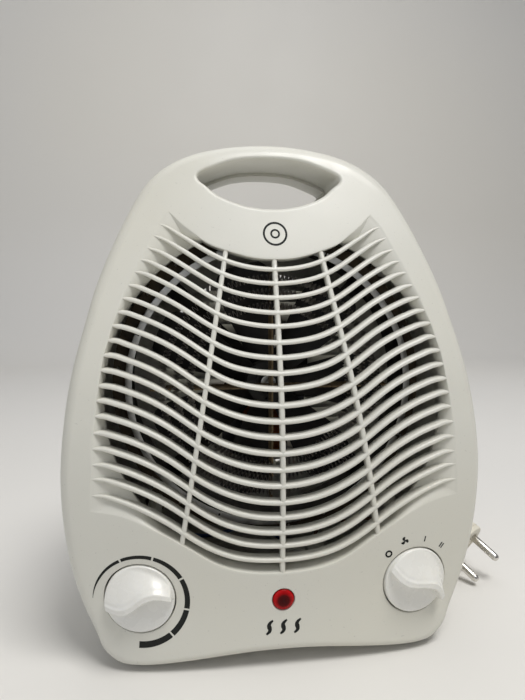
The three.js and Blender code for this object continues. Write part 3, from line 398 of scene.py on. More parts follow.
def lathe(profile, segments):
    """Body of revolution about Y from (radius, y) points: axis to axis, or round a ring."""
    verts, faces, rows = [], [], []
    for radius, y in profile:
        if radius < 1e-6:
            rows.append([len(verts)] * segments)
            verts.append((0, y, 0))
            continue
        rows.append(list(range(len(verts), len(verts) + segments)))
        for k in range(segments):
            angle = 2 * math.pi * k / segments
            verts.append((radius * math.cos(angle), y, radius * math.sin(angle)))
    is_ring = profile[0][0] > 1e-6
    for row, after in zip(rows, rows[1:] + rows[:1] if is_ring else rows[1:]):
        for k in range(segments):
            side = (k + 1) % segments
            face = [row[k], after[k], after[side], row[side]]
            face = [vert for i, vert in enumerate(face) if vert != face[i - 1]]
            if len(face) > 2:
                faces.append(face)
    return solid(verts, faces)


def rounded(profile, radius, steps=3):
    """Profile with the corners between its ends rounded."""
    points = [np.array(point, float) for point in profile]
    result = [tuple(points[0])]
    for before, corner, after in zip(points, points[1:], points[2:]):
        to_before, to_after = np.linalg.norm(before - corner), np.linalg.norm(after - corner)
        reach = min(radius, to_before * 0.45, to_after * 0.45)
        start = corner + (before - corner) / to_before * reach
        end = corner + (after - corner) / to_after * reach
        for k in range(steps + 1):
            u = k / steps
            result.append(tuple((1 - u) ** 2 * start + 2 * u * (1 - u) * corner + u * u * end))
    return result + [tuple(points[-1])]


def prism(outline, front, back):
    return sweep([in_depth(outline, front), in_depth(outline, back)])


def cylinder(radius, front, back, x=0.0, z=0.0, segments=40):
    return prism(circle(radius, x, z, segments), front, back)


def upright_cylinder(radius, bottom, top, x, y, segments=32):
    ring = circle(radius, x, y, segments)
    return sweep([np.column_stack([ring, np.full(segments, float(z))]) for z in (bottom, top)])


def box(x0, x1, y0, y1, z0, z1):
    verts = [(x, y, z) for x in (x0, x1) for y in (y0, y1) for z in (z0, z1)]
    return solid(verts, [(0, 1, 3, 2), (4, 6, 7, 5), (0, 4, 5, 1), (2, 3, 7, 6), (0, 2, 6, 4),
                         (1, 5, 7, 3)])


def slab(top, bottom):
    """Closed body between two grids of points (rows, columns, 3)."""
    rows, columns = top.shape[:2]
    count = rows * columns
    i, j = np.meshgrid(np.arange(rows - 1), np.arange(columns - 1), indexing="ij")
    first = (i * columns + j).ravel()
    upper = np.stack([first, first + columns, first + columns + 1, first + 1], 1)
    faces = upper.tolist() + (upper[:, ::-1] + count).tolist()
    for q in range(rows - 1):
        low, high = q * columns, (q + 1) * columns
        faces.append((low, count + low, count + high, high))
        low, high = low + columns - 1, high + columns - 1
        faces.append((high, count + high, count + low, low))
    last = (rows - 1) * columns
    for q in range(columns - 1):
        faces.append((q + 1, count + q + 1, count + q, q))
        faces.append((last + q, count + last + q, count + last + q + 1, last + q + 1))
    return solid(np.concatenate([top.reshape(-1, 3), bottom.reshape(-1, 3)]), faces)


def rod(points, radius, count, segments):
    """Round bar along a smooth path."""
    centres = path(points, count)
    along = tangents(centres)
    up = np.array([0, 0, 1.0]) if abs(along[0][2]) < 0.9 else np.array([1.0, 0, 0])
    angle = np.linspace(0, 2 * math.pi, segments, endpoint=False)
    sections = []
    for centre, forward in zip(centres, along):
        side = np.cross(forward, up)
        side /= np.linalg.norm(side)
        up = np.cross(side, forward)
        ring = np.cos(angle)[:, None] * side + np.sin(angle)[:, None] * up
        sections.append(centre + radius * ring)
    return sweep(sections)


# ------------------------------------------------------------------ objects
MAT = {}


def shade(mesh, sharp):
    """Smooth shading, broken at edges sharper than an angle in degrees."""
    mesh.shade_smooth()
    mesh.set_sharp_from_angle(angle=math.radians(sharp))


def piece(name, body, *mats, sharp=30):
    """Object from a body; mats are keys of MAT."""
    verts, faces = body
    mesh = bpy.data.meshes.new(name)
    mesh.from_pydata(to_frame(verts).tolist(), [], [tuple(int(i) for i in f) for f in faces])
    mesh.validate()
    item = bpy.data.objects.new(name, mesh)
    bpy.context.scene.collection.objects.link(item)
    for key in mats:
        mesh.materials.append(MAT[key])
    shade(mesh, sharp)
    return item


def discard(item):
    mesh = item.data
    bpy.data.objects.remove(item)
    bpy.data.meshes.remove(mesh)


def apply_modifiers(item, rename=False):
    depsgraph = bpy.context.evaluated_depsgraph_get()
    mesh = bpy.data.meshes.new_from_object(item.evaluated_get(depsgraph))
    item.modifiers.clear()
    old = item.data
    item.data = mesh
    if rename:
        mesh.name = item.name
    bpy.data.meshes.remove(old)


def carve(name, base, adds, cuts, *mats, sharp=30):
    """base + adds - cuts, all bodies, as one closed mesh."""
    item = piece(name, base)
    for operation, group in (("UNION", adds), ("DIFFERENCE", cuts)):
        if not group:
            continue
        collection = bpy.data.collections.new("tmp")
        tools = [piece(f"tmp_{operation}{i}", body) for i, body in enumerate(group)]
        for tool in tools:
            collection.objects.link(tool)
        modifier = item.modifiers.new("b", "BOOLEAN")
        modifier.solver, modifier.operation = "MANIFOLD", operation
        modifier.operand_type, modifier.collection = "COLLECTION", collection
        apply_modifiers(item, rename=True)
        for tool in tools:
            discard(tool)
        bpy.data.collections.remove(collection)
    item.data.materials.clear()
    for key in mats:
        item.data.materials.append(MAT[key])
    shade(item.data, sharp)
    return item


def bevel(item, width, segments):
    """Bevels the edges sharper than 40 degrees; width in mm."""
    modifier = item.modifiers.new("bev", "BEVEL")
    modifier.width, modifier.segments = width * 0.001, segments
    modifier.limit_method, modifier.angle_limit = "ANGLE", math.radians(40)
    apply_modifiers(item)
    shade(item.data, 32)


def read_coords(mesh):
    coords = np.zeros(len(mesh.vertices) * 3)
    mesh.vertices.foreach_get("co", coords)
    return coords.reshape(-1, 3)


def tidy(mesh, distance=4e-7):
    """Collapses the slivers that cutting leaves, and drops doubled faces."""
    work = bmesh.new()
    work.from_mesh(mesh)
    bmesh.ops.remove_doubles(work, verts=work.verts, dist=distance)
    bmesh.ops.dissolve_degenerate(work, dist=distance, edges=work.edges)
    work.to_mesh(mesh)
    work.free()
    mesh.validate()
    mesh.update()


def register(item, slot, *nodes, rides="housing"):
    """Keeps a finished piece inside the CAD box, ties it to its body and hides its CAD nodes;
    slot is not used.
    """
    margin = 2e-6
    coords = np.clip(read_coords(item.data), np.array(CAD_LO) + margin,
                     np.array(CAD_HI) - margin)
    item.data.vertices.foreach_set("co", coords.ravel())
    tidy(item.data)
    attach(item, rides)
    if nodes:
        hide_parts(*nodes)


# ------------------------------------------------------------------ materials
class Shader:
    """A material round one Principled surface, with short calls for the nodes it uses."""

    def __init__(self, name):
        self.material = bpy.data.materials.new(name)
        self.material.use_nodes = True
        self.tree = self.material.node_tree
        self.tree.nodes.clear()
        output = self.node("ShaderNodeOutputMaterial")
        self.principled = self.node("ShaderNodeBsdfPrincipled")
        self.put(output, 0, self.principled.outputs[0])
        self.place = self.node("ShaderNodeTexCoord").outputs["Object"]

    def put(self, node, key, value):
        """Links a socket to an input, or sets the input's value."""
        if isinstance(value, bpy.types.NodeSocket):
            self.tree.links.new(value, node.inputs[key])
        else:
            node.inputs[key].default_value = value

    def node(self, kind, props=None, **inputs):
        node = self.tree.nodes.new(kind)
        for key, value in (props or {}).items():
            setattr(node, key, value)
        for key, value in inputs.items():
            self.put(node, key.replace("_", " "), value)
        return node

    def surface(self, **inputs):
        for key, value in inputs.items():
            self.put(self.principled, key.replace("_", " "), value)

    def stretch(self, scale):
        return self.node("ShaderNodeMapping", Vector=self.place, Scale=scale).outputs[0]

    def noise(self, scale, detail=3.0, rough=0.5, vector=None):
        return self.node("ShaderNodeTexNoise", Vector=vector or self.place, Scale=scale,
                         Detail=detail, Roughness=rough).outputs["Fac"]

    def ramp(self, factor, stops):
        node = self.node("ShaderNodeValToRGB", Fac=factor)
        elements = node.color_ramp.elements
        while len(elements) < len(stops):
            elements.new(0.5)
        for element, (position, colour) in zip(elements, stops):
            element.position = position
            element.color = (*colour, 1)
        return node.outputs[0]

    def mix(self, factor, low, high):
        node = self.node("ShaderNodeMix", {"data_type": "RGBA"})
        self.put(node, 0, factor)
        for key, value in ((6, low), (7, high)):
            is_socket = isinstance(value, bpy.types.NodeSocket)
            self.put(node, key, value if is_socket else (*value, 1))
        return node.outputs[2]

    def math(self, operation, first, second=0.0):
        node = self.node("ShaderNodeMath", {"operation": operation})
        self.put(node, 0, first)
        self.put(node, 1, second)
        return node.outputs[0]

    def span(self, value, source, target):
        """Maps the source range (from, to) of a value onto the target range."""
        return self.node("ShaderNodeMapRange", Value=value, From_Min=source[0],
                         From_Max=source[1], To_Min=target[0], To_Max=target[1]).outputs[0]

    def bump(self, height, strength, distance, under=None):
        node = self.node("ShaderNodeBump", Strength=strength, Distance=distance, Height=height)
        if under is not None:
            self.put(node, "Normal", under)
        return node.outputs[0]

    def pointiness(self):
        return self.node("ShaderNodeNewGeometry").outputs["Pointiness"]


def tint(colour, gain):
    return tuple(min(1.0, channel * gain) for channel in colour)


def plastic(name, colour, rough, drift, drift_scale, grain, grain_scale, gloss_spread=0.08,
            edge=0.05, dust=0.0, specks=0.0, specular=0.5, subsurface=0.0):
    """Moulded plastic: colour drift, fine grain, uneven gloss, painted edge highlights and crease
    shade, settled dust.
    """
    s = Shader(name)
    red, green, blue = colour
    base = s.mix(s.noise(drift_scale, detail=4.0, rough=0.55),
                 tint(colour, 1 - drift), tint(colour, 1 + drift))
    # warmer patches
    warm = s.span(s.noise(drift_scale * 0.45, detail=2.0), (0.42, 0.7), (0.0, 0.5))
    base = s.mix(warm, base, (red, green * 0.975, blue * 0.9))
    if edge:  # lighter on edges, darker in creases: painted highlight and painted shade
        point = s.pointiness()
        base = s.mix(s.span(point, (0.52, 0.62), (0.0, edge * 4)), base, tint(colour, 1.12))
        base = s.mix(s.span(point, (0.49, 0.40), (0.0, edge * 8)), base,
                     tint((red, green * 0.95, blue * 0.86), 0.62))
    if dust:  # on faces that look up
        normal = s.node("ShaderNodeNewGeometry").outputs["Normal"]
        upward = s.node("ShaderNodeSeparateXYZ", Vector=normal).outputs["Z"]
        amount = s.math(
            "MULTIPLY", s.span(upward, (0.35, 1.0), (0.0, dust)),
            s.span(s.noise(160.0, detail=4.0, rough=0.7), (0.35, 0.7), (0.2, 1.0)))
        base = s.mix(amount, base, (0.36, 0.33, 0.27))
    if specks:
        spots = s.span(s.noise(900.0, detail=1.0), (0.72, 0.78), (0.0, specks))
        base = s.mix(spots, base, tint(colour, 0.45))
    gloss = s.span(s.noise(drift_scale * 5), (0.3, 0.7),
                   (max(0.04, rough - gloss_spread), rough + gloss_spread))
    relief = s.bump(s.noise(grain_scale, detail=2.0, rough=0.6), strength=grain,
                    distance=0.00006)
    relief = s.bump(s.noise(60.0, detail=2.0), strength=0.05, distance=0.0004, under=relief)
    s.surface(Base_Color=base, Roughness=gloss, Normal=relief, Specular_IOR_Level=specular)
    if subsurface:
        s.surface(Subsurface_Weight=subsurface, Subsurface_Radius=(1.0, 0.9, 0.7),
                  Subsurface_Scale=0.0012)
    return s.material


def metal(name, colour, rough, drift, drift_scale, brush, spangle, pits, tarnish, edge=0.15):
    """Sheet or turned metal: brushed or spangled, tarnished, with a painted highlight on its
    edges.
    """
    s = Shader(name)
    base = s.mix(s.noise(drift_scale, detail=5.0, rough=0.6),
                 tint(colour, 1 - drift), tint(colour, 1 + drift))
    if spangle:
        cells = s.node("ShaderNodeTexVoronoi", Vector=s.place, Scale=170.0)
        base = s.mix(s.span(cells.outputs["Color"], (0.0, 1.0), (0.0, spangle)), base,
                     tint(colour, 1.35))
    if tarnish:
        stain = s.noise(90.0, detail=5.0, rough=0.65)
        base = s.mix(s.span(stain, (0.5, 0.72), (0.0, 0.75)), base, tarnish)
    # edges lighter by pointiness: a painted highlight
    base = s.mix(s.span(s.pointiness(), (0.52, 0.6), (0.0, edge * 3)), base, tint(colour, 1.4))
    gloss = s.span(s.noise(drift_scale * 3, detail=4.0), (0.25, 0.75),
                   (max(0.08, rough - 0.12), rough + 0.14))
    relief = None
    if brush:
        relief = s.bump(s.noise(900.0, detail=2.0, rough=0.6, vector=s.stretch(brush)),
                        strength=0.35, distance=0.00008)
    relief = s.bump(s.noise(2200.0, detail=2.0), strength=pits, distance=0.00005, under=relief)
    s.surface(Base_Color=base, Roughness=gloss, Metallic=1.0, Normal=relief)
    return s.material


def banded(name, light, dark, axis, per_mm, metallic, rough, depth=0.6):
    """Fine parallel lines at a real pitch: stacked laminations or wound wire."""
    s = Shader(name)
    lines = s.node(
        "ShaderNodeTexWave",
        {"wave_type": "BANDS", "bands_direction": axis, "wave_profile": "SIN"},
        Vector=s.place, Scale=per_mm * 1000 / (2 * math.pi), Distortion=0.4, Detail=2.0,
        Detail_Scale=2.0).outputs["Fac"]
    base = s.mix(lines, dark, light)
    base = s.mix(s.span(s.noise(120.0, detail=4.0), (0.4, 0.75), (0.0, 0.6)), base,
                 tint(dark, 0.8))
    gloss = s.span(s.noise(200.0), (0.3, 0.7), (rough - 0.08, rough + 0.12))
    s.surface(Base_Color=base, Roughness=gloss, Metallic=metallic,
              Normal=s.bump(lines, strength=depth, distance=0.0003))
    return s.material


# Rows are the arguments of plastic(): name, colour, roughness, colour drift and its scale,
# grain and its scale, then gloss spread, painted edge highlight and crease shade, dust,
# specks, specular, subsurface.
PLASTICS = {
    "shell": ("shell_offwhite", (0.66, 0.655, 0.60), 0.38, 0.03, 14.0, 0.10, 1700.0,
              0.07, 0.05, 0.10, 0.25, 0.45, 0.06),
    "rear": ("shell_rear_offwhite", (0.65, 0.645, 0.59), 0.42, 0.035, 12.0, 0.16, 1500.0,
             0.07, 0.05, 0.14, 0.3, 0.45, 0.06),
    "knob": ("knob_white", (0.79, 0.79, 0.765), 0.27, 0.02, 30.0, 0.05, 2200.0,
             0.05, 0.04, 0.03, 0.1, 0.5, 0.08),
    "ink": ("print_dark_grey", (0.011, 0.0125, 0.0115), 0.62, 0.12, 60.0, 0.2, 2500.0,
            0.08, 0.0, 0.0, 0.0, 0.22),
    "black": ("phenolic_black", (0.028, 0.026, 0.024), 0.42, 0.2, 60.0, 0.3, 1200.0,
              0.1, 0.06, 0.25),
    "fan": ("fan_black_moulding", (0.022, 0.021, 0.020), 0.5, 0.25, 35.0, 0.35, 900.0,
            0.12, 0.05, 0.3),
    "rubber": ("rubber_black", (0.03, 0.03, 0.031), 0.82, 0.18, 70.0, 0.6, 900.0,
               0.08, 0.05, 0.15),
    "cord": ("cord_pvc", (0.70, 0.67, 0.58), 0.46, 0.04, 22.0, 0.25, 1100.0,
             0.08, 0.03, 0.10, 0.25),
    "white": ("ceramic_white", (0.76, 0.74, 0.68), 0.55, 0.05, 50.0, 0.35, 1000.0,
              0.1, 0.06, 0.15, 0.3),
    "brown": ("wire_brown_pvc", (0.15, 0.06, 0.025), 0.45, 0.08, 50.0, 0.2, 1200.0),
    # the wire's own blue, made darker as painted shade for the dark bottom of the case
    "blue": ("wire_blue_pvc", (0.018, 0.06, 0.20), 0.45, 0.08, 50.0, 0.2, 1200.0),
}

# Rows are the arguments of metal(): name, colour, roughness, colour drift and its scale,
# stretch of the brushing, spangle, pits, tarnish colour, painted edge highlight.
METALS = {
    "zinc": ("zinc_plated_steel", (0.55, 0.56, 0.54), 0.34, 0.1, 120.0, (1.0, 0.15, 1.0),
             0.0, 0.25, (0.40, 0.38, 0.32)),
    "nickel": ("nickel_plated_pin", (0.66, 0.64, 0.60), 0.26, 0.04, 60.0, None,
               0.0, 0.02, None, 0.1),
    "sheet": ("galvanised_sheet", (0.56, 0.57, 0.56), 0.36, 0.12, 50.0, None,
              0.6, 0.25, (0.30, 0.26, 0.20), 0.2),
    # near black: painted shade for the dark inside of the case, on the duct ring and motor plate
    "sheet_painted_shade": ("galvanised_sheet_sooted", (0.045, 0.042, 0.038), 0.58, 0.3, 45.0, None,
                  0.3, 0.3, (0.02, 0.017, 0.013), 0.1),
    "flange": ("galvanised_flange", (0.78, 0.78, 0.76), 0.42, 0.1, 70.0, None,
               0.5, 0.3, (0.5, 0.47, 0.42), 0.2),
    "alloy": ("heating_ribbon_oxidised", (0.46, 0.43, 0.40), 0.42, 0.25, 90.0, (0.3, 1.0, 0.3),
              0.0, 0.3, (0.20, 0.15, 0.13), 0.25),
    "brass": ("sintered_bronze", (0.52, 0.38, 0.17), 0.42, 0.15, 150.0, None,
              0.0, 0.6, (0.26, 0.17, 0.08)),
    "alu": ("pressed_aluminium", (0.60, 0.61, 0.62), 0.38, 0.08, 40.0, (0.25, 1.0, 1.0),
            0.0, 0.15, (0.42, 0.40, 0.37)),
}


def mica():
    """Brown and flaky, with pale scales and dark patches."""
    s = Shader("mica_flaky")
    scales = s.node("ShaderNodeTexVoronoi", {"feature": "F1"},
                    Vector=s.stretch((1.0, 0.5, 0.8)), Scale=330.0).outputs["Distance"]
    flakes = s.noise(240.0, detail=5.0, rough=0.7)
    base = s.mix(s.span(flakes, (0.3, 0.7), (0.0, 1.0)), (0.15, 0.10, 0.05),
                 (0.30, 0.22, 0.12))
    base = s.mix(s.span(scales, (0.0, 0.35), (0.35, 0.0)), base, (0.48, 0.39, 0.25))
    base = s.mix(s.span(s.noise(35.0), (0.5, 0.75), (0.0, 0.7)), base, (0.07, 0.045, 0.025))
    s.surface(Base_Color=base, Roughness=s.span(flakes, (0.3, 0.7), (0.35, 0.7)),
              Normal=s.bump(scales, strength=0.35, distance=0.0002))
    return s.material


def baffle():
    """Fibre board in dark browns, painted shade for the inside of the case, with darker patches.
    """
    s = Shader("baffle_painted_shade_brown")
    fibre = s.noise(420.0, detail=5.0, rough=0.7, vector=s.stretch((1.0, 1.0, 0.35)))
    # dark browns throughout: painted shade for the dark inside of the case
    base = s.mix(s.span(fibre, (0.3, 0.75), (0.0, 1.0)), (0.045, 0.032, 0.018),
                 (0.115, 0.083, 0.046))
    base = s.mix(s.span(s.noise(40.0, detail=4.0), (0.45, 0.8), (0.0, 0.6)), base,
                 (0.03, 0.023, 0.015))
    s.surface(Base_Color=base, Roughness=s.span(fibre, (0.3, 0.7), (0.5, 0.8)),
              Normal=s.bump(fibre, strength=0.4, distance=0.00015))
    return s.material


def red_lens():
    """Deep red, darkest in the middle, with a painted highlight in a ring near the rim and faint
    streaks.
    """
    s = Shader("lens_deep_red")
    streaks = s.noise(300.0)
    generated = s.node("ShaderNodeTexCoord").outputs["Generated"]
    split = s.node("ShaderNodeSeparateXYZ", Vector=generated)
    dx = s.math("SUBTRACT", split.outputs["X"], 0.5)
    dz = s.math("SUBTRACT", split.outputs["Z"], 0.5)
    square = s.math("ADD", s.math("MULTIPLY", dx, dx), s.math("MULTIPLY", dz, dz))
    radius = s.math("MULTIPLY", s.math("SQRT", square), 2.0)
    # the bright ring near the rim is a painted highlight
    base = s.ramp(radius, [
        (0.0, (0.05, 0.001, 0.0015)), (0.50, (0.085, 0.0015, 0.002)),
        (0.70, (0.40, 0.005, 0.007)), (0.92, (0.55, 0.010, 0.012)),
        (1.0, (0.28, 0.004, 0.005))])
    base = s.mix(s.span(streaks, (0.3, 0.7), (0.0, 0.35)), base, (0.03, 0.0006, 0.001))
    s.surface(Base_Color=base, Roughness=s.span(streaks, (0.3, 0.7), (0.12, 0.22)),
              Transmission_Weight=0.08, IOR=1.49, Specular_IOR_Level=0.08,
              Normal=s.bump(s.noise(700.0, detail=2.0), strength=0.1, distance=0.0001))
    return s.material


def lamp_glass():
    """Clear glass with a warm tint."""
    s = Shader("lamp_glass")
    cloud = s.noise(200.0, detail=2.0)
    base = s.mix(s.span(cloud, (0.3, 0.7), (0.0, 1.0)), (0.80, 0.70, 0.58),
                 (0.92, 0.86, 0.78))
    s.surface(Base_Color=base, Roughness=s.span(cloud, (0.3, 0.7), (0.03, 0.10)),
              Transmission_Weight=0.8, IOR=1.5)
    return s.material


for key, row in PLASTICS.items():
    MAT[key] = plastic(*row)
for key, row in METALS.items():
    MAT[key] = metal(*row)
MAT["core"] = banded("stator_laminations", light=(0.20, 0.21, 0.22), dark=(0.06, 0.06, 0.065),
                     axis="Y", per_mm=2.0, metallic=0.85, rough=0.42)
MAT["rotor"] = banded("rotor_laminations", light=(0.30, 0.30, 0.31), dark=(0.09, 0.09, 0.095),
                      axis="Y", per_mm=2.0, metallic=0.9, rough=0.36)
MAT["copper"] = banded("copper_winding", light=(0.62, 0.22, 0.07), dark=(0.20, 0.05, 0.015),
                       axis="Z", per_mm=2.6, metallic=0.55, rough=0.33, depth=0.9)
MAT["mica"] = mica()
MAT["baffle"] = baffle()
MAT["lens"] = red_lens()
MAT["glass"] = lamp_glass()


# ------------------------------------------------------------------ front cover
def front_shell(count=400):
    """Loops from the seam over the rim, across the face and into the window, then back inside."""
    angles = directions(count)
    case, field, window = case_radius(angles), field_radius(angles), window_radius(angles)
    loops = []

    def ring(radius, depth):
        loops.append(in_depth(polar(angles, radius), depth))

    def face_at(radius):
        return face_y(*polar(angles, radius).T)

    def face_ring(radius, depth):
        ring(radius, lambda x, z: face_y(x, z) + depth)

    seam, rim_y = seam_y(AXIS_Z + case * np.sin(angles)), face_at(case) + RIM
    for u in (0.0, 0.012, 0.34, 0.67, 1.0):
        ring(case - (0.35 if u == 0 else 0.0), (1 - u) * seam + u * rim_y)
    for k in range(1, 10):  # rounded rim, blended from the outline's depth to the face's
        angle, blend = math.pi / 2 * k / 9, k / 9
        radius = case - RIM * (1 - math.cos(angle))
        on_face = face_at(radius) + RIM * (1 - math.sin(angle))
        ring(radius, (1 - blend) * (rim_y - RIM * math.sin(angle)) + blend * on_face)
    lip = np.minimum(1.3, (case - RIM - field) * 0.4)
    for u in np.linspace(0, 1, 13)[1:]:
        face_ring((1 - u) * (case - RIM) + u * (field + lip), 0)
    for u, depth in ((0.7, 0.01), (0.4, 0.04), (0.15, 0.10), (0.0, 0.16)):
        face_ring(field + lip * u, depth)
    for u in (0.08, 0.2, 0.35, 0.5, 0.65, 0.8, 0.93):  # dished from the field to the window
        face_ring(field + (window - field) * u,
                  0.16 + (SLAT_DEPTH - 0.32) * (0.3 * u + 0.7 * u ** 1.7))
    face_ring(window, SLAT_DEPTH)
    face_ring(window, SLAT_DEPTH + 1.7)
    face_ring(window + 0.3, SLAT_DEPTH + 2)
    for u in (0.5, 1.0):
        face_ring(window + 0.3 + (field + 1.3 - window) * u,
                  SLAT_DEPTH + 2 + (WALL + 0.2 - SLAT_DEPTH - 2) * u)
    for u in np.linspace(0, 1, 9)[1:]:
        face_ring((1 - u) * (field + 1.6) + u * (case - RIM - 0.6), WALL)
    inside = case - WALL
    seam_inside = seam_y(AXIS_Z + inside * np.sin(angles))
    shoulder = case - WALL - 1.2
    ring(shoulder, np.minimum(face_at(shoulder) + 3.6, seam_inside - 1.6))
    ring(inside, np.minimum(face_at(inside) + RIM + 1, seam_inside - 1))
    ring(inside, seam_inside)
    return sweep(loops, closed=True)


# Half-round front edge of a slat or bar: offset and depth, for a half thickness of one.
NOSE = [(math.cos(t), 1 - math.sin(t)) for t in np.linspace(0, math.pi, 9)]


def on_face(x, z, across, section):
    """Section of (offset, depth) points on the face at x, z; offsets run along across."""
    side, depth = np.array(section).T
    xs, zs = x + across[0] * side, z + across[1] * side
    return np.stack([xs, face_y(x, z) + depth + face_step(x, z, xs - x, zs - z), zs], 1)


def slat(heights, tip):
    """Louvre slat that thins and gets shallower from the window's edge out to its tip."""
    heights = np.array(heights, float)
    heights[1:-1] = heights[1:-1] * 0.6 + 0.2 * (heights[2:] + heights[:-2])
    centre_line = spline(np.append(np.arange(len(heights)) * SLAT_STEP, tip[0]),
                         np.append(heights, tip[1]), mirrored=True)
    xs = np.concatenate([np.arange(0, tip[0] - 6, 2.5),
                         np.linspace(tip[0] - 6, tip[0] + 0.8, 6)])
    xs = np.concatenate([-xs[:0:-1], xs])
    zs = centre_line(np.clip(xs, -tip[0], tip[0]))
    radius, angle = np.hypot(xs, zs - AXIS_Z), np.arctan2(zs - AXIS_Z, xs)
    window, field = window_radius(angle), field_radius(angle)
    # 0 inside the window, 1 at the tip
    outness = np.clip((radius - window) / np.maximum(field - window, 0.5), 0, 1)
    along = tangents(np.stack([xs, zs], 1))
    halves = SLAT_THICK / 2 * (1 - 0.62 * outness ** 1.5)
    halves[[0, -1]] = 0.18
    fronts = 0.10 + 0.05 * outness
    shallow = np.minimum(SLAT_DEPTH, 0.34 + (SLAT_DEPTH - 0.5) * (1 - outness) + 0.9)
    backs = np.where(radius > window - 0.5, shallow, SLAT_DEPTH)
    sections = []
    for x, z, (run, rise), half, front, back in zip(xs, zs, along, halves, fronts, backs):
        section = [(side * half, front + depth * half) for side, depth in NOSE]
        section += [(-half * 0.86, back - 0.35), (-half * 0.6, back), (half * 0.6, back),
                    (half * 0.86, back - 0.35)]
        sections.append(on_face(x, z, (-rise, run), section))
    return sweep(sections)


def bar(x0, z0, x1, z1, half=1.25):
    """Bar across the slats, set a little behind their front edges."""
    section = [(side * half, 0.35 + depth * half * 0.8) for side, depth in NOSE]
    section += [(-half * 0.85, SLAT_DEPTH - 0.9), (-half * 0.5, SLAT_DEPTH - 0.6),
                (half * 0.5, SLAT_DEPTH - 0.6), (half * 0.85, SLAT_DEPTH - 0.9)]
    stations = [i / 40 for i in range(41)]
    return sweep([on_face(x0 + (x1 - x0) * u, z0 + (z1 - z0) * u, (1, 0), section)
                  for u in stations])


def liner(front, back, inner_offset):
    """Tube round the top opening between two surfaces."""
    steps, loops = (0, 0.33, 0.66, 1), []
    for distance, order in ((2.4, steps), (inner_offset, steps[::-1])):
        for u in order:
            loops.append(in_depth(offset(opening, distance),
                                  lambda x, z: front(x, z) * (1 - u) + back(x, z) * u))
    return sweep(loops, closed=True)


def mouth_cut(outline, surface, radius, end, sign=-1.0):
    """Cutter with a rounded mouth, from outside a surface to depth end.

    sign is the direction along Y in which the outside lies."""
    sections = [in_depth(offset(outline, radius + 3), lambda x, z: surface(x, z) + sign * 4)]
    for k in range(9):
        angle = math.pi / 2 * k / 8
        sections.append(in_depth(
            offset(outline, radius * (1 - math.sin(angle))),
            lambda x, z: surface(x, z) - sign * radius * (1 - math.cos(angle))))
    sections.append(in_depth(outline, end))
    return sweep(sections)


knob_y = float(face_y(KNOB_X, KNOB_Z))
knob_rise = FACE_RISE[3] + (FACE_RISE[4] - FACE_RISE[3]) * (KNOB_Z / 10 - 3)
knob_tilt = math.atan(2 * knob_rise * KNOB_X / 1e4)


def knob_seat(side):
    """From a control's own frame, y into the case, to the drawing; side is -1 left, 1 right."""
    return shift(side * KNOB_X, knob_y, KNOB_Z) @ turn("Z", side * knob_tilt)


def well_cut(side):
    """Round recess for a control: a mouth that follows the face, then a straight wall."""
    seat = knob_seat(side)

    def on_surface(radius, depth):
        points = transform(in_depth(circle(radius, count=96), 0), seat)
        return in_depth(points[:, [0, 2]], lambda x, z: face_y(x, z) + depth)

    sections = [on_surface(WELL_R + 3.9, -4)]
    for k in range(7):
        angle = math.pi / 2 * k / 6
        sections.append(on_surface(WELL_R + 0.4 * (1 - math.sin(angle)),
                                   0.4 * (1 - math.cos(angle))))
    for inset, short in ((0.05, 0.8), (0.3, 0.25), (0.8, 0)):
        ring = in_depth(circle(WELL_R - inset, count=96), WELL_DEPTH - short)
        sections.append(transform(ring, seat))
    return sweep(sections)


lens_y = float(face_y(LENS_X, LENS_Z))


def front_cover():
    adds = [slat(*row) for row in SLATS]
    adds.append(bar(0, 47.6, 0, 206))
    for side in (-1, 1):
        adds.append(bar(side * (BAR_BOTTOM[0] + 0.9), BAR_BOTTOM[1] - 4,
                        side * (BAR_TOP[0] - 0.4), BAR_TOP[1] + 2.5))
    adds.append(liner(lambda x, z: face_y(x, z) + 1.2, lambda x, z: seam_y(z), -0.4))
    for side in (-1, 1):
        adds.append(moved(cylinder(WELL_R + 2, 1.4, WELL_DEPTH + 2, segments=72),
                          knob_seat(side)))
    for x, z in CASE_SCREWS:
        adds.append(cylinder(4.5, face_y(x, z) + (1.4 if z < AXIS_Z else 2.3),
                             seam_y(z) - 0.9, x, z))
    for x, z in LUGS:
        adds.append(cylinder(4.0, face_y(x, z) + (1.4 if z < AXIS_Z else 3.8),
                             RING_BACK - 1.1, x, z))
    adds.append(cylinder(LENS_R + 2.2, lens_y + 1.2, lens_y + 9, LENS_X, LENS_Z, 48))

    cuts = [well_cut(-1), well_cut(1)]
    for side in (-1, 1):
        cuts.append(moved(cylinder(4.2, -6, 16, segments=32), knob_seat(side)))
    for x, z in CASE_SCREWS:
        cuts.append(cylinder(1.7, seam_y(z) - 14, seam_y(z) + 1, x, z, 20))
    for x, z in LUGS:
        cuts.append(cylinder(1.6, 3, RING_BACK + 1, x, z, 20))
    for x, y in FEET[:2]:
        cuts.append(upright_cylinder(2.5, -1, 9, x, y))
    cuts.append(mouth_cut(opening, face_y, 1.8, 60.0))
    cuts.append(mouth_cut(circle(LENS_R + 0.25, LENS_X, LENS_Z, 56), face_y, 0.6, -40.0))
    item = carve("front_cover_shell", front_shell(), adds, cuts, "shell", sharp=28)
    register(item, "shell_plastic", "front_cover")


front_cover()


# ------------------------------------------------------------------ rear cover
def taper(x, z, amount):
    """Draws the outline in towards the rear; amount is 0 at the seam and 1 at the back."""
    below = z + np.where(z < 20, 0.6 * amount, 0)
    return (x * (1 - 0.055 * amount),
            np.where(z > AXIS_Z, AXIS_Z + (z - AXIS_Z) * (1 - 0.022 * amount), below))


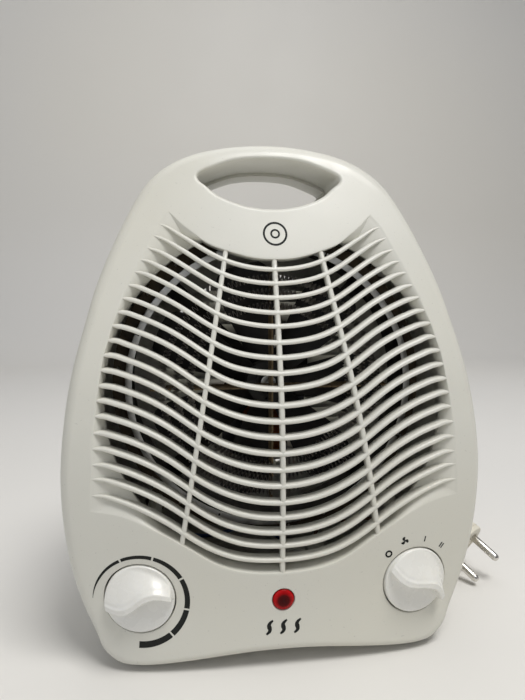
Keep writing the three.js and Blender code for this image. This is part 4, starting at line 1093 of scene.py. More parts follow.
def rear_shell(count=360):
    """Loops from the seam along the outside to the grille's hole, then back inside."""
    angles = directions(count)
    case = case_radius(angles)
    loops = []

    def tapered(radius, amount):
        return taper(*polar(angles, radius).T, amount)

    def ring(radius, amount, depth):
        x, z = tapered(radius, amount)
        loops.append(np.stack([x, depth(z), z], 1))

    def rear_ring(inset, hole, u, depth):
        """Part way u from the inset case outline to a round hole, depth below the surface."""
        (x0, z0), (x1, z1) = tapered(case - inset, 1), polar(angles, hole).T
        x, z = x0 + (x1 - x0) * u, z0 + (z1 - z0) * u
        loops.append(np.stack([x, rear_y(z) - depth, z], 1))

    def seam(z):
        return seam_y(z) + GAP

    ring(case - 0.35, 0, seam)
    ring(case, 0, lambda z: seam(z) + 0.35)
    for u in (0.25, 0.5, 0.75, 1.0):
        ring(case, u, lambda z: (1 - u) * seam(z) + u * (rear_y(z) - REAR_ROUND))
    for k in range(1, 11):
        angle = math.pi / 2 * k / 10
        ring(case - REAR_ROUND * (1 - math.cos(angle)), 1,
             lambda z: rear_y(z) - REAR_ROUND * (1 - math.sin(angle)))
    for u in (0.25, 0.5, 0.75, 0.96):
        rear_ring(REAR_ROUND, GRILLE_R + 0.6, u, 0.0)
    for extra, depth in ((0.6, 0.0), (0.2, 0.12), (0, 0.55), (0, WALL)):
        x, z = polar(angles, GRILLE_R + extra).T
        loops.append(np.stack([x, rear_y(z) - depth, z], 1))
    rear_ring(REAR_ROUND + 0.6, GRILLE_R, 0.5, WALL)
    ring(case - REAR_ROUND - 0.6, 1, lambda z: rear_y(z) - WALL)
    ring(case - 5.6, 1, lambda z: rear_y(z) - WALL - 1.2)
    ring(case - 3.4, 1, lambda z: rear_y(z) - WALL - 3.6)
    ring(case - WALL, 1, lambda z: rear_y(z) - 9.4)
    for u in (0.66, 0.33):
        ring(case - WALL, u, lambda z: (1 - u) * seam(z) + u * (rear_y(z) - 9.4))
    ring(case - WALL, 0, seam)
    return sweep(loops, closed=True)


def louvre(k):
    """Slanted blade across the rear grille, k pitches above the fan axis; its back is higher."""
    z = AXIS_Z + LOUVRE_PITCH * k
    reach = math.sqrt((GRILLE_R + 1.2) ** 2 - (abs(z - AXIS_Z) + 1.4) ** 2)
    back = float(rear_y(z)) - 0.4
    section = []
    for y, height, sign in ((back, z + LOUVRE_DEPTH / 2, 1),
                            (back - LOUVRE_DEPTH, z - LOUVRE_DEPTH / 2, -1)):
        for angle in np.linspace(-math.pi / 2, math.pi / 2, 6):
            nose = math.cos(angle) * 0.75 * sign
            rise = math.sin(angle) * LOUVRE_THICK / 2 * sign
            section.append((y - sign * 0.75 + nose, height + rise - sign * 0.75 + nose * 0.6))
    return sweep([[(x, y, z) for y, z in section]
                  for x in (-reach, -reach * 0.5, 0, reach * 0.5, reach)])


def upright_bar(x):
    """Thin upright behind the rear grille's blades, seen from outside."""
    reach = math.sqrt((GRILLE_R + 1.2) ** 2 - (abs(x) + 1) ** 2)
    section = ((1, 1.5), (0.7, 1.2), (-0.7, 1.2), (-1, 1.5), (-1, 3.6), (1, 3.6))
    heights = [AXIS_Z + k * reach for k in (-1, -0.5, 0, 0.5, 1)]
    return sweep([[(x + side, float(rear_y(z)) - depth, z) for side, depth in section]
                  for z in heights])


def rear_cover():
    adds = [liner(lambda x, z: seam_y(z) + GAP, lambda x, z: rear_y(z) - 1, -2.0)]
    adds += [louvre(k) for k in range(-9, 10)]
    adds += [upright_bar(x) for x in (-34, 0, 34)]
    for x, z in CASE_SCREWS:
        adds.append(cylinder(5.6, float(seam_y(z)) + GAP + 0.9, float(rear_y(z)) - 1, x, z))
    cuts = [mouth_cut(offset(opening, -1.6), rear_surface, 2.2, -40.0, sign=1.0),
            mouth_cut(circle(6.3, CORD_X, CORD_Z), rear_surface, 0.8, 50.0, sign=1.0)]
    for x, z in CASE_SCREWS:
        seam = float(seam_y(z))
        cuts.append(mouth_cut(circle(3.9, x, z, 40), rear_surface, 0.7, seam + 4, sign=1.0))
        cuts.append(cylinder(1.8, seam - 2, seam + 6, x, z, 20))
    for x, y in FEET[2:]:
        cuts.append(upright_cylinder(2.5, -1, 9, x, y))
    item = carve("rear_cover_shell", rear_shell(), adds, cuts, "rear", sharp=28)
    register(item, "shell_plastic", "rear_cover")


rear_cover()

# ------------------------------------------------------------------ controls
# Grip, by columns across the disc: position, lower edge of the land, height of the land,
# foot of the flank.
GRIP = np.array([
    (-17.6, -1.0, 2.8, 8), (-14, -2.5, 4.6, 13.4), (-10, -3.5, 6.2, 16), (-6, -3.2, 7.4, 16.8),
    (-2, -1.7, 7.9, 16.9), (2, 0.3, 8.2, 15.8), (6, 1.6, 8.2, 13.7), (10, 1.3, 7.6, 11),
    (14, -0.5, 6.7, 7.4), (17.6, -2.6, 5.5, 2.6)])
grip_edge, grip_height, grip_foot = (spline(GRIP[:, 0], GRIP[:, k]) for k in (1, 2, 3))


def knob_top(x, z):
    """Height of the control's surface towards the user, above the seat plane."""
    column = np.clip(x, -18.2, 18.2)
    edge, height, foot = grip_edge(column), grip_height(column), grip_foot(column)
    disc, crest = 1.2, edge + 2.9
    fall = np.clip((z - crest) / np.maximum(foot - crest, 0.8), 0, 1)
    flank = (1.0 + (height - 1.0) * ((1 - fall) ** 1.30 * 0.86 + 0.14 * (1 - fall))
             - 0.28 * np.exp(-((z - crest - 1.0) / 0.9) ** 2) * (z > crest))
    land = height - 0.16 * np.clip(1 - ((z - edge - 1.45) / 1.45) ** 2, 0, 1)
    wall = disc + (height - disc) * np.clip((z - (edge - 0.75)) / 0.75, 0, 1) ** 0.6
    return np.maximum(np.where(z >= crest, flank, np.where(z >= edge, land, wall)), disc)


def cut_with(item, operation, body):
    tool = piece("tmp_tool", body)
    modifier = item.modifiers.new("b", "BOOLEAN")
    modifier.solver, modifier.operation, modifier.object = "MANIFOLD", operation, tool
    apply_modifiers(item)
    discard(tool)


def knob(kind, side, angle):
    """Height field trimmed to the round disc, bored, then softened and turned by angle."""
    grid = np.linspace(-19.5, 19.5, 150)
    x, z = np.meshgrid(grid, grid, indexing="ij")
    item = piece(f"{kind}_knob_grip", slab(np.stack([x, -knob_top(x, z), z], -1),
                                           np.stack([x, np.full_like(x, 7.8), z], -1)))
    trim = [(0, -16), (KNOB_R - 0.75, -16), (KNOB_R - 0.35, -1.2), (KNOB_R, -0.35),
            (KNOB_R, 0.4), (KNOB_R, WELL_DEPTH - 1.2), (0, WELL_DEPTH - 1.2)]
    cut_with(item, "INTERSECT", lathe(trim, 128))
    cut_with(item, "DIFFERENCE", cylinder(3.3, 2.0, WELL_DEPTH + 4, segments=32))
    # an even mesh, relaxed, gives every edge a small moulded radius
    remesh = item.modifiers.new("r", "REMESH")
    remesh.mode, remesh.voxel_size, remesh.use_smooth_shade = "VOXEL", 0.00033, True
    smooth = item.modifiers.new("s", "SMOOTH")
    smooth.factor, smooth.iterations = 0.5, 6
    apply_modifiers(item)
    local = (read_coords(item.data) - ORIGIN) * 1000
    placed = to_frame(transform(transform(local, turn("Y", angle)), knob_seat(side)))
    item.data.vertices.foreach_set("co", placed.ravel())
    item.data.update()
    item.data.materials.clear()
    item.data.materials.append(MAT["knob"])
    shade(item.data, 50)
    register(item, "knob_plastic", f"{kind}_knob", rides=f"{kind}_dial")


def control_block(kind, side, half_x, half_z, back, mat, slot):
    """Spindle of a control and the block behind its well."""
    seat = knob_seat(side)
    spindle = lathe(rounded([(0, 2.3), (3, 2.3), (3, 21), (0, 21)], 0.4), 48)
    register(piece(f"{kind}_spindle", moved(spindle, seat), "zinc", sharp=32),
             "screw_zinc", f"{kind}_shaft", rides=f"{kind}_dial")
    block = box(-half_x, half_x, WELL_DEPTH + 2.4, back, -half_z, half_z)
    bores = [cylinder(3.4, 0, 21.5, segments=32),
             cylinder(5.0, WELL_DEPTH + 2, WELL_DEPTH + 3.4)]
    item = carve(f"{kind}_block", moved(block, seat), (), [moved(b, seat) for b in bores], mat)
    bevel(item, 0.6, 3)
    register(item, slot, f"{kind}_body")


knob("thermostat", -1, -0.206)
knob("switch", 1, 0.55)
control_block("thermostat", -1, 13, 11, 26, "white", "ceramic_white")
control_block("switch", 1, 14, 14, 30, "black", "black_phenolic")


# ------------------------------------------------------------------ indicator
def indicator():
    seat = shift(LENS_X, lens_y, LENS_Z)
    verts, faces = lathe([
        (0, -1.2), (0.9, -1.18), (1.8, -1.12), (2.8, -0.98), (3.7, -0.74), (4.5, -0.42),
        (5.0, -0.1), (5.3, 0.3), (LENS_R, 0.8), (LENS_R, 7.7), (LENS_R - 0.2, 8), (3.8, 8),
        (3.6, 7.8), (3.6, 2.4), (3.2, 2.0), (0, 1.6)], 96)
    # faint waffle on the dome
    radius = np.hypot(verts[:, 0], verts[:, 2])
    dome = (verts[:, 1] < 0.5) & (radius < 4.8)
    waffle = (0.10 * np.cos(verts[:, 0] * 5.2) * np.cos(verts[:, 2] * 5.2)
              * np.clip(1 - radius / 4.8, 0, 1) ** 0.5)
    verts[:, 1] += np.where(dome, waffle, 0)
    lens = piece("indicator_lens_red", moved((verts, faces), seat), "lens", sharp=40)
    register(lens, "lens_red", "indicator_lens")
    bulb = lathe([(0, 3), (0.8, 3.1), (1.5, 3.5), (2.1, 4.2), (2.5, 5.0), (2.6, 5.8),
                  (2.6, 14.2), (2.4, 14.8), (2.0, 15), (0, 15)], 48)
    register(piece("neon_lamp_glass", moved(bulb, seat), "glass", sharp=50),
             "lamp_glass", "neon_lamp")


indicator()

# ------------------------------------------------------------------ printed marks
PRINT_LIFT, PRINT_SINK = 0.07, 0.10  # above and below the face


def patch(grid):
    """Thin plate over the face from a grid of x, z points (rows, columns, 2)."""
    grid = np.asarray(grid, float)
    x, z = grid[..., 0], grid[..., 1]
    y = face_y(x, z)
    return slab(np.stack([x, y - PRINT_LIFT, z], -1), np.stack([x, y + PRINT_SINK, z], -1))


def stroke(points, widths, count=24):
    """Ribbon along a smooth line; widths are those at its start, middle and end."""
    line = path(points, count)
    along = tangents(line)
    half = np.interp(np.linspace(0, 1, count), [0, 0.5, 1], widths) / 2
    side = np.stack([-along[:, 1], along[:, 0]], 1) * half[:, None]
    return patch(np.stack([line - side, line + side], 1))


def printed_ring(x, z, inner, outer, count):
    corners = ((inner, -PRINT_LIFT), (outer, -PRINT_LIFT), (outer, PRINT_SINK),
               (inner, PRINT_SINK))
    return sweep([in_depth(circle(radius, x, z, count), lambda x, z: face_y(x, z) + depth)
                  for radius, depth in corners], closed=True)


def thermostat_scale():
    """Six arcs that thicken clockwise."""
    centre_x, centre_z, outer = -69.2, 37.1, 23.7
    ends, gap = (177.5, 115.0, 74.8, 30.2, -11.5, -49.3, -93.6), 1.2  # degrees
    arcs = []
    for k in range(6):
        start = ends[k] - (0 if k == 0 else gap)
        stop = ends[k + 1] + (0 if k == 5 else gap)
        angles = np.linspace(math.radians(start), math.radians(stop), 30)
        widths = np.interp(-np.degrees(angles), [-177.5, -150, -115, -75, -30, 11, 49, 93.6],
                           [0.15, 1.1, 1.55, 1.85, 2.3, 2.65, 2.9, 3.25])
        arcs.append(patch([
            [(centre_x + r * math.cos(a), centre_z + r * math.sin(a))
             for r in (outer - width, outer - width * 0.5, outer)]
            for a, width in zip(angles, widths)]))
    return arcs


def switch_marks():
    """Small ring, three-bladed fan, one stroke and two strokes, left to right."""
    marks = [printed_ring(54.7, 54.4, 1.05, 1.95, 48)]
    fan_x, fan_z = 63.2, 60.5
    blade = ((0.15, 0.0), (0.9, 0.35), (1.7, 0.05), (2.0, -0.5))
    for degrees in (100, 220, 340):
        cos, sin = math.cos(math.radians(degrees)), math.sin(math.radians(degrees))
        marks.append(stroke([(fan_x + x * cos - z * sin, fan_z + x * sin + z * cos)
                             for x, z in blade], (0.55, 1.75, 0.4)))
    for x, z, tilt, sides in ((74.7, 60.2, 78.6, (0,)), (84.6, 55.4, 52.0, (-0.62, 0.62))):
        dx, dz = math.cos(math.radians(tilt)), math.sin(math.radians(tilt))
        for side in sides:
            x0, z0 = x - dz * side, z + dx * side
            marks.append(stroke([(x0 - dx * 1.45, z0 - dz * 1.45),
                                 (x0 + dx * 1.45, z0 + dz * 1.45)], (0.62, 0.62, 0.62)))
    return marks


def printed_marks():
    bodies = thermostat_scale() + switch_marks()
    # two concentric rings above the grille
    bodies += [printed_ring(1.0, 217.5, 5.4, 6.5, 96), printed_ring(1.0, 217.5, 1.6, 2.6, 64)]
    # three slanted waves below the lens
    for x in (-8.4, -1.4, 5.6):
        bodies.append(stroke([(x, 18.2), (x + 1.8, 20.2), (x + 1.4, 22.6), (x + 3.4, 25.0)],
                             (0.9, 2.3, 0.9), 30))
    verts, faces, start = [], [], 0
    for body_verts, body_faces in bodies:
        verts.append(body_verts)
        faces += [tuple(i + start for i in face) for face in body_faces]
        start += len(body_verts)
    register(piece("printed_marks", (np.concatenate(verts), faces), "ink", sharp=40),
             "black_phenolic")


printed_marks()

# ------------------------------------------------------------------ feet and screws
FOOT = [(0, 0.5), (2.6, 0.5), (2.9, 0.05), (3.0, 0), (3.7, 0), (3.85, 0.35), (4.35, 0.35),
        (4.5, 0), (5.3, 0), (5.75, 0.2), (6.0, 0.6), (6.0, 1.7), (5.85, 2.0), (5.6, 2.1),
        (2.1, 2.1), (2.1, 7.0), (1.7, 8.3), (1.4, 8.5), (0, 8.5)]

for i, (x, y) in enumerate(FEET):
    foot = moved(lathe(FOOT, 56), shift(x, y, 0) @ turn("X", math.pi / 2))
    register(piece(f"foot_{i + 1}_rubber", foot, "rubber"), "rubber", f"foot_{i + 1}")


def thread(root, crest, start, end, pitch=0.9):
    """Profile points of a screw thread, as separate ridges."""
    points, y = [], start
    while y + pitch <= end + 1e-6:
        points += [(root, y), (crest, y + pitch * 0.45), (crest, y + pitch * 0.6),
                   (root, y + pitch)]
        y += pitch
    return points


def cross_recess(bottom, top, half_width, reach):
    """The two arms of a tapered cross."""
    arms = []
    for turned in (False, True):
        sections = []
        for y, wide, far in ((bottom, half_width * 0.6, reach * 0.55),
                             (top, half_width, reach)):
            corners = [(-far, -wide), (far, -wide), (far, wide), (-far, wide)]
            sections.append([(-b, y, a) if turned else (a, y, b) for a, b in corners])
        arms.append(sweep(sections))
    return arms


def screw(name, node, profile, place, angle, half_width, reach):
    """Screw along Y, its head towards the back, cut with a cross."""
    seat = shift(*place) @ turn("Y", angle)
    top = profile[-1][1]
    recess = cross_recess(top - 1.1, top + 0.3, half_width, reach)
    item = carve(name, moved(lathe(profile, 40), seat), (), [moved(r, seat) for r in recess],
                 "zinc")
    register(item, "screw_zinc", node)


CASE_SCREW = [(0, 0), (0.6, 0.2), *thread(0.95, 1.3, 0.8, 9.8), (1.15, 10.2), (1.15, 11.9),
              (3.2, 12.0), (3.4, 12.2), (3.4, 12.9), (3.1, 13.5), (2.4, 14.05), (1.4, 14.32),
              (0, 14.4)]
RING_SCREW = [(0, -14), (0.5, -13.8), *thread(0.9, 1.2, -13.2, -1.5), (1.1, -1.0), (1.1, 0.3),
              (3.0, 0.32), (3.2, 0.5), (3.2, 1.3), (2.7, 1.85), (1.5, 2.22), (0, 2.3)]
motor_head = CORE_BACK + 3.6 - RING_BACK
MOTOR_SCREW = [(0, 0), (1.5, 0.1), *thread(1.6, 1.9, 0.5, 6.0, 0.7), (1.85, 6.4),
               (1.85, motor_head), (3.2, motor_head + 0.02), (3.4, motor_head + 0.2),
               (3.4, motor_head + 1.5), (2.9, motor_head + 1.95), (0, motor_head + 2.2)]

for i, (x, z) in enumerate(CASE_SCREWS):
    screw(f"case_screw_{i + 1}_pan_head", f"case_screw_{i + 1}", CASE_SCREW,
          (x, float(seam_y(z)) + 4.3 - 12, z), 0.3 + i, half_width=0.36, reach=1.35)
for i, (x, z) in enumerate(LUGS):
    screw(f"ring_screw_{i + 1}_pan_head", f"ring_screw_{i + 1}", RING_SCREW,
          (x, RING_BACK + 1.5, z), 0.7 * i, half_width=0.34, reach=1.2)
for i, x in enumerate((MOTOR_SCREW_X, -MOTOR_SCREW_X)):
    screw(f"motor_screw_{i + 1}_cheese_head", f"motor_screw_{i + 1}", MOTOR_SCREW,
          (x, RING_BACK, AXIS_Z), 0.5 + i, half_width=0.4, reach=1.4)


# ------------------------------------------------------------------ heating element
def mica_board(name, upright, node):
    """Board notched from the front for the ribbons and half-lapped with its partner."""

    def part(t0, t1, y0, y1, s0, s1):
        """Box by its extents across the board's thickness, in depth and along its span."""
        if upright:
            return box(t0, t1, y0, y1, AXIS_Z + s0, AXIS_Z + s1)
        return box(s0, s1, y0, y1, AXIS_Z + t0, AXIS_Z + t1)

    middle, lap = (BOARD_FRONT + BOARD_BACK) / 2, 0.75
    cuts = []
    for radius in RIBBON_R:
        for side in (-1, 1):
            cuts.append(part(-2, 2, BOARD_FRONT - 2, RIBBON_BACK + 0.3,
                             side * radius - 2.5, side * radius + 2.5))
    lap_depth = (middle, 0) if upright else (BOARD_FRONT - 2, middle + 0.3)
    cuts.append(part(-3, 3, *lap_depth, -lap, lap))
    for side in (-1, 1):
        for s in (11, 21, 32, 56.2):  # slots
            cuts.append(part(-2, 2, -6.0, -4.6, side * s - 2.6, side * s + 2.6))
        for q in range(6):  # nicks in the front edge, clear of the ribbons
            s = 12.5 + q * 5.2
            if min(abs(s - radius) for radius in RIBBON_R) > 3.4:
                cuts.append(part(-2, 2, BOARD_FRONT - 1, BOARD_FRONT + 0.55,
                                 side * s - 0.5, side * s + 0.5))
        cuts.append(part(-2, 2, BOARD_BACK - 2.2, BOARD_BACK + 1,
                         side * 66.5 - 1.6, side * 66.5 + 1.6))
    board = part(-0.45, 0.45, BOARD_FRONT, BOARD_BACK, -BOARD_R, BOARD_R)
    item = carve(name, board, (), cuts, "mica")
    bevel(item, 0.09, 1)
    register(item, "mica", node)


def heating_ribbon(label, radius, waves):
    """Corrugated strip, almost a full turn round the fan axis from the bottom."""
    half, amplitude, near, far = 0.11, 1.78, -12.3, -8.7
    start, stop = -math.pi / 2 + 7.4 / radius, 1.5 * math.pi + 1.6 / radius
    front, back = RIBBON_FRONT + 0.04, RIBBON_BACK - 0.04
    section = ((-half, front), (half, front), (half, near), (half, far), (half, back),
               (-half, back), (-half, far), (-half, near))
    count = waves * 8
    sections = []
    for i in range(count + 1):
        angle = start + (stop - start) * i / count
        wavy = radius + amplitude * math.sin(2 * math.pi * waves * i / count)
        cos, sin = math.cos(angle), math.sin(angle)
        sections.append([((wavy + side) * cos, y, AXIS_Z + (wavy + side) * sin)
                         for side, y in section])
    register(piece(f"heating_ribbon_{label}_corrugated", sweep(sections), "alloy", sharp=50),
             "heating_alloy", f"heating_ribbon_{label}")


def bimetal_cutout():
    """Case on the upright board, with a round button and two tabs."""
    case = box(0.9, 5.3, -10.6, -4.4, AXIS_Z + 28.6, AXIS_Z + 36.4)
    button = moved(cylinder(2.5, 0, 1.9, segments=32),
                   shift(5.1, -7.5, AXIS_Z + 32.5) @ turn("Z", -math.pi / 2))
    tabs = [box(1.6, 2.1, -9.6, -5.4, AXIS_Z + z, AXIS_Z + z + 2) for z in (28.0, 35.0)]
    item = carve("bimetal_cutout", case, [button, *tabs], (), "black")
    bevel(item, 0.22, 2)
    register(item, "black_phenolic", "thermal_cutout")


def fuse():
    """Ceramic tube along X, with a collar near each end."""
    half = [(0, -4.5), (1.0, -4.5), (1.0, -3.9), (1.8, -3.7), (1.8, -2.9), (1.62, -2.75)]
    profile = rounded(half + [(radius, -y) for radius, y in reversed(half)], 0.15)
    tube = moved(lathe(profile, 40), shift(-30, -9, AXIS_Z + 3) @ turn("Z", -math.pi / 2))
    register(piece("fuse_ceramic_tube", tube, "white"), "ceramic_white", "thermal_fuse")


mica_board("mica_board_upright", True, "mica_board_vertical")
mica_board("mica_board_level", False, "mica_board_horizontal")
for row in zip(("inner", "middle", "outer"), RIBBON_R, (122, 142, 162)):
    heating_ribbon(*row)
bimetal_cutout()
fuse()


# ------------------------------------------------------------------ ring, baffle, motor plate
def lug_arms(start, end, half, front, back):
    """Radial straps with rounded outer ends, one towards each lug."""
    tip = [(end - half + half * math.cos(t), half * math.sin(t))
           for t in np.linspace(-math.pi / 2, math.pi / 2, 17)]
    strap = prism([(start, -half), *tip, (start, half)], front, back)
    return [moved(strap, around(-degrees)) for degrees in LUG_ANGLES]


def lug_holes(radius, front, back, segments=32):
    return [cylinder(radius, front, back, x, z, segments) for x, z in LUGS]


def duct_ring():
    """Sheet ring with an inward lip at the front and four arms at the back."""
    # inward from RING_R, y
    profile = [
        (3.7, RING_FRONT + 0.7), (3.7, RING_FRONT + 0.1), (3.6, RING_FRONT), (0.5, RING_FRONT),
        (0.15, RING_FRONT + 0.15), (0, RING_FRONT + 0.5), (0, -12.4), (0.12, -12.0),
        (0.12, -11.6), (0, -11.2), (0, 14.6), (0.14, 15.0), (0.14, 15.8), (0, 16.2),
        (0, RING_BACK), (0.8, RING_BACK), (0.8, RING_FRONT + 1.0), (1.0, RING_FRONT + 0.8),
        (3.6, RING_FRONT + 0.8)]
    ring = lathe([(RING_R - inset, y) for inset, y in profile], 240)
    cuts = lug_holes(1.9, 10, 30)
    for i in range(8):
        cuts.append(moved(box(RING_R - 2.5, RING_R + 4, -14.9, -12.9, -0.6, 0.6),
                          around(45 * i + 22.5)))
        cuts.append(moved(box(RING_R - 6, RING_R + 4, -10.5, -7.5, -12, 12), around(45 * i)))
    arms = lug_arms(RING_R - 0.4, LUG_R + 5, 5, RING_BACK - 0.8, RING_BACK)
    item = carve("duct_ring_sheet", moved(ring, ON_AXIS), arms, cuts, "sheet_painted_shade", "flange")
    for polygon in item.data.polygons:  # only the front lip is bright; the rest of the ring is near black, painted shade
        x, y, z = (np.array(polygon.center) - ORIGIN) * 1000
        on_lip = y < RING_FRONT + 0.95 and math.hypot(x, z - AXIS_Z) > RING_R - 4
        polygon.material_index = 1 if on_lip else 0
    register(item, "sheet_steel", "heat_shield_ring")


def heat_baffle():
    """Flat ring round the duct, with a row of small holes and four arms."""
    inner, outer = RING_R + 0.8, 87.3
    profile = [(inner, -5.9), (RING_R + 0.9, -6), (87.2, -6), (outer, -5.9), (outer, -5.1),
               (87.2, -5), (RING_R + 0.9, -5), (inner, -5.1)]
    cuts = lug_holes(4.4, -8, -3, 40)
    for i in range(24):
        angle = math.radians(15 * i + 7.5)
        cuts.append(cylinder(0.9, -8, -3, 84.6 * math.cos(angle),
                             AXIS_Z + 84.6 * math.sin(angle), 16))
    # its dark brown board is painted shade
    item = carve("heat_baffle_board", moved(lathe(profile, 200), ON_AXIS),
                 lug_arms(86, 98, 6, -5.98, -5.02), cuts, "baffle")
    register(item, "mica", "heat_baffle")


def motor_holes(front=0, back=60):
    return [cylinder(2.3, front, back, side * MOTOR_SCREW_X, AXIS_Z, 32) for side in (-1, 1)]


def motor_plate():
    """Rounded plate on four arms, each with a narrow rib."""
    front, back = RING_BACK + GAP, RING_BACK + 1.5
    outline = []
    for x, z, first in ((24, 13, 0), (-24, 13, 90), (-24, -9, 180), (24, -9, 270)):
        for degrees in range(first, first + 91, 18):
            angle = math.radians(degrees)
            outline.append((x + 3 * math.cos(angle), AXIS_Z + z + 3 * math.sin(angle)))
    adds = lug_arms(8, LUG_R + 5, 5, front + 0.2, back)
    adds += lug_arms(34, 84, 1.3, front, back - 0.3)
    cuts = [cylinder(6.5, 10, 30, 0, AXIS_Z, 48), *lug_holes(1.9, 0, 30),
            *motor_holes(10, 30)]
    # near-black sheet: painted shade inside the case
    item = carve("motor_plate_sheet", prism(outline, front + 0.2, back), adds, cuts,
                 "sheet_painted_shade")
    bevel(item, 0.12, 1)
    register(item, "sheet_steel", "motor_mount")


duct_ring()
heat_baffle()
motor_plate()


# ------------------------------------------------------------------ motor
def stadium(half_x, half_z):
    """Outline with half-round ends, about the fan axis."""
    centre = half_x - half_z
    return [(side * centre + half_z * math.cos(t), AXIS_Z + half_z * math.sin(t))
            for side, start in ((1, -math.pi / 2), (-1, math.pi / 2))
            for t in np.linspace(start, start + math.pi, 17)]


def bracket(label, datum, front, back, boss_front, boss_height, rounding):
    """Motor bracket: a strap between front and back, with a bored boss."""
    boss = rounded([(0, 0), (6, 0), (6, boss_height), (0, boss_height)], rounding)
    item = carve(f"motor_bracket_{label}", prism(stadium(26, 6), front, back),
                 [moved(lathe(boss, 56), shift(0, boss_front, AXIS_Z))],
                 motor_holes() + [cylinder(4.9, datum - 1, datum + 6, 0, AXIS_Z, 48)], "sheet")
    register(item, "sheet_steel", f"motor_{label}_bracket")


def bearing(label, front, back):
    length = back - front
    profile = [(1.9, 0.25), (2.2, 0), (3.6, 0), (4.3, length * 0.18), (4.6, length * 0.4),
               (4.6, length * 0.6), (4.3, length * 0.82), (3.6, length), (2.2, length),
               (1.9, length - 0.25)]
    bush = moved(lathe(profile, 48), shift(0, front, AXIS_Z))
    register(piece(f"bearing_{label}_bush", bush, "brass", sharp=35), "brass",
             f"{label}_bearing")


def stator():
    """Lamination stack with a round bore, a window for the coil and two small slots."""
    outline = [(26, -42), (26, 15), (23, 18), (-23, 18), (-26, 15), (-26, -42)]
    outline = [(x, AXIS_Z + z) for x, z in outline]
    front, back = CORE_FRONT - 1, CORE_BACK + 1
    cuts = [cylinder(12.4, front, back, 0, AXIS_Z, 96),
            box(-15, 15, front, back, AXIS_Z - 33, AXIS_Z - 17)]
    cuts += [moved(box(11.5, 15.2, front, back, -0.9, 0.9), around(-t)) for t in (52, 232)]
    item = carve("stator_lamination_stack", prism(outline, CORE_FRONT, CORE_BACK), (),
                 cuts + motor_holes(), "core")
    bevel(item, 0.15, 1)
    register(item, "core_steel", "stator_core")


def rounded_loop(x, y0, y1, z0, z1, radius):
    """Rounded rectangle across X."""
    points = []
    for y, z, first in ((y1 - radius, z1 - radius, 0), (y0 + radius, z1 - radius, 90),
                        (y0 + radius, z0 + radius, 180), (y1 - radius, z0 + radius, 270)):
        for step in np.linspace(0, 90, 5):
            angle = math.radians(first + step)
            points.append((x, y + radius * math.cos(angle), z + radius * math.sin(angle)))
    return points


def coil():
    """Winding round the lower limb of the stator, between two flanges."""
    flange, flange_inside, winding_end = 14.6, 13.7, 13.6

    def outer(x, inset):
        return rounded_loop(x, CORE_FRONT - 3 + inset, CORE_BACK + 3 - inset,
                            AXIS_Z - 50 + inset, AXIS_Z - 17.4 - inset, 2.6)

    stations = [(-flange, 0), (-flange_inside, 0), (-winding_end, 1.0)]
    stations += [(x, 1.0 - 0.45 * (1 - (x / winding_end) ** 4))
                 for x in np.linspace(-12.6, 12.6, 15)]
    stations += [(winding_end, 1.0), (flange_inside, 0), (flange, 0)]
    loops = [outer(x, inset) for x, inset in stations]
    loops += [rounded_loop(x, CORE_FRONT - 0.3, CORE_BACK + 0.3, AXIS_Z - 42.3, AXIS_Z - 32.7,
                           0.5) for x in (flange, 5, -5, -flange)]
    verts, faces = sweep(loops, closed=True)
    item = piece("stator_winding_bobbin", (verts, faces), "copper", "black", sharp=35)
    for polygon in item.data.polygons:
        if abs(np.mean([verts[i] for i in polygon.vertices], 0)[0]) > winding_end + 0.02:
            polygon.material_index = 1
    register(item, "copper_enamel", "stator_coil")


bracket("front", MOTOR_FRONT, MOTOR_FRONT, MOTOR_FRONT + 1.3, MOTOR_FRONT, 3.6, 0.5)
bracket("rear", CORE_BACK, CORE_BACK + 1.9, CORE_BACK + 3.2, CORE_BACK + 0.6, 2.6, 0.4)
bearing("front", MOTOR_FRONT + 0.2, MOTOR_FRONT + 3.4)
bearing("rear", CORE_BACK + 0.8, CORE_BACK + 3.2)
stator()
coil()


# ------------------------------------------------------------------ rotor, shaft and fan
def rotor():
    """Laminations between two pressed end rings."""
    # radius, distance in from the core's end; the other half mirrors it
    half = [(1.9, 0.7), (2.2, 0.4), (7.0, 0.4), (7.3, 0.9), (8.0, 1.0), (8.4, 0.6),
            (11.0, 0.6), (11.4, 0.9), (11.4, 1.9), (11.8, 2.0)]
    profile = [(radius, CORE_FRONT + inset) for radius, inset in half]
    profile += [(radius, CORE_BACK - inset) for radius, inset in reversed(half)]
    verts, faces = lathe(profile, 72)
    item = piece("rotor_cage", moved((verts, faces), ON_AXIS), "rotor", "alu")
    for polygon in item.data.polygons:
        y = np.mean([verts[i] for i in polygon.vertices], 0)[1]
        if y < CORE_FRONT + 1.95 or y > CORE_BACK - 1.95:
            polygon.material_index = 1
    register(item, "core_steel", "motor_rotor", rides="fan_rotor")


def spindle():
    """Shaft with a groove near its front end."""
    profile = [
        (0, FAN_FRONT - 4), (1.2, FAN_FRONT - 4), (SHAFT_R, FAN_FRONT - 3.6),
        (SHAFT_R, FAN_FRONT - 1.8), (1.45, FAN_FRONT - 1.7), (1.45, FAN_FRONT - 0.3),
        (SHAFT_R, FAN_FRONT - 0.2), (SHAFT_R, CORE_BACK + 5.6), (1.3, CORE_BACK + 6),
        (0, CORE_BACK + 6)]
    register(piece("motor_spindle", moved(lathe(profile, 48), ON_AXIS), "zinc"),
             "screw_zinc", "motor_shaft", rides="fan_rotor")


# Fan blade: radius, pitch in radians, half chord.
BLADE = np.array([(11.9, 0.71, 7.9), (36, 0.58, 14), (58, 0.48, 18), (70, 0.42, 17)])
blade_pitch, blade_chord = (spline(BLADE[:, 0], BLADE[:, k]) for k in (1, 2))


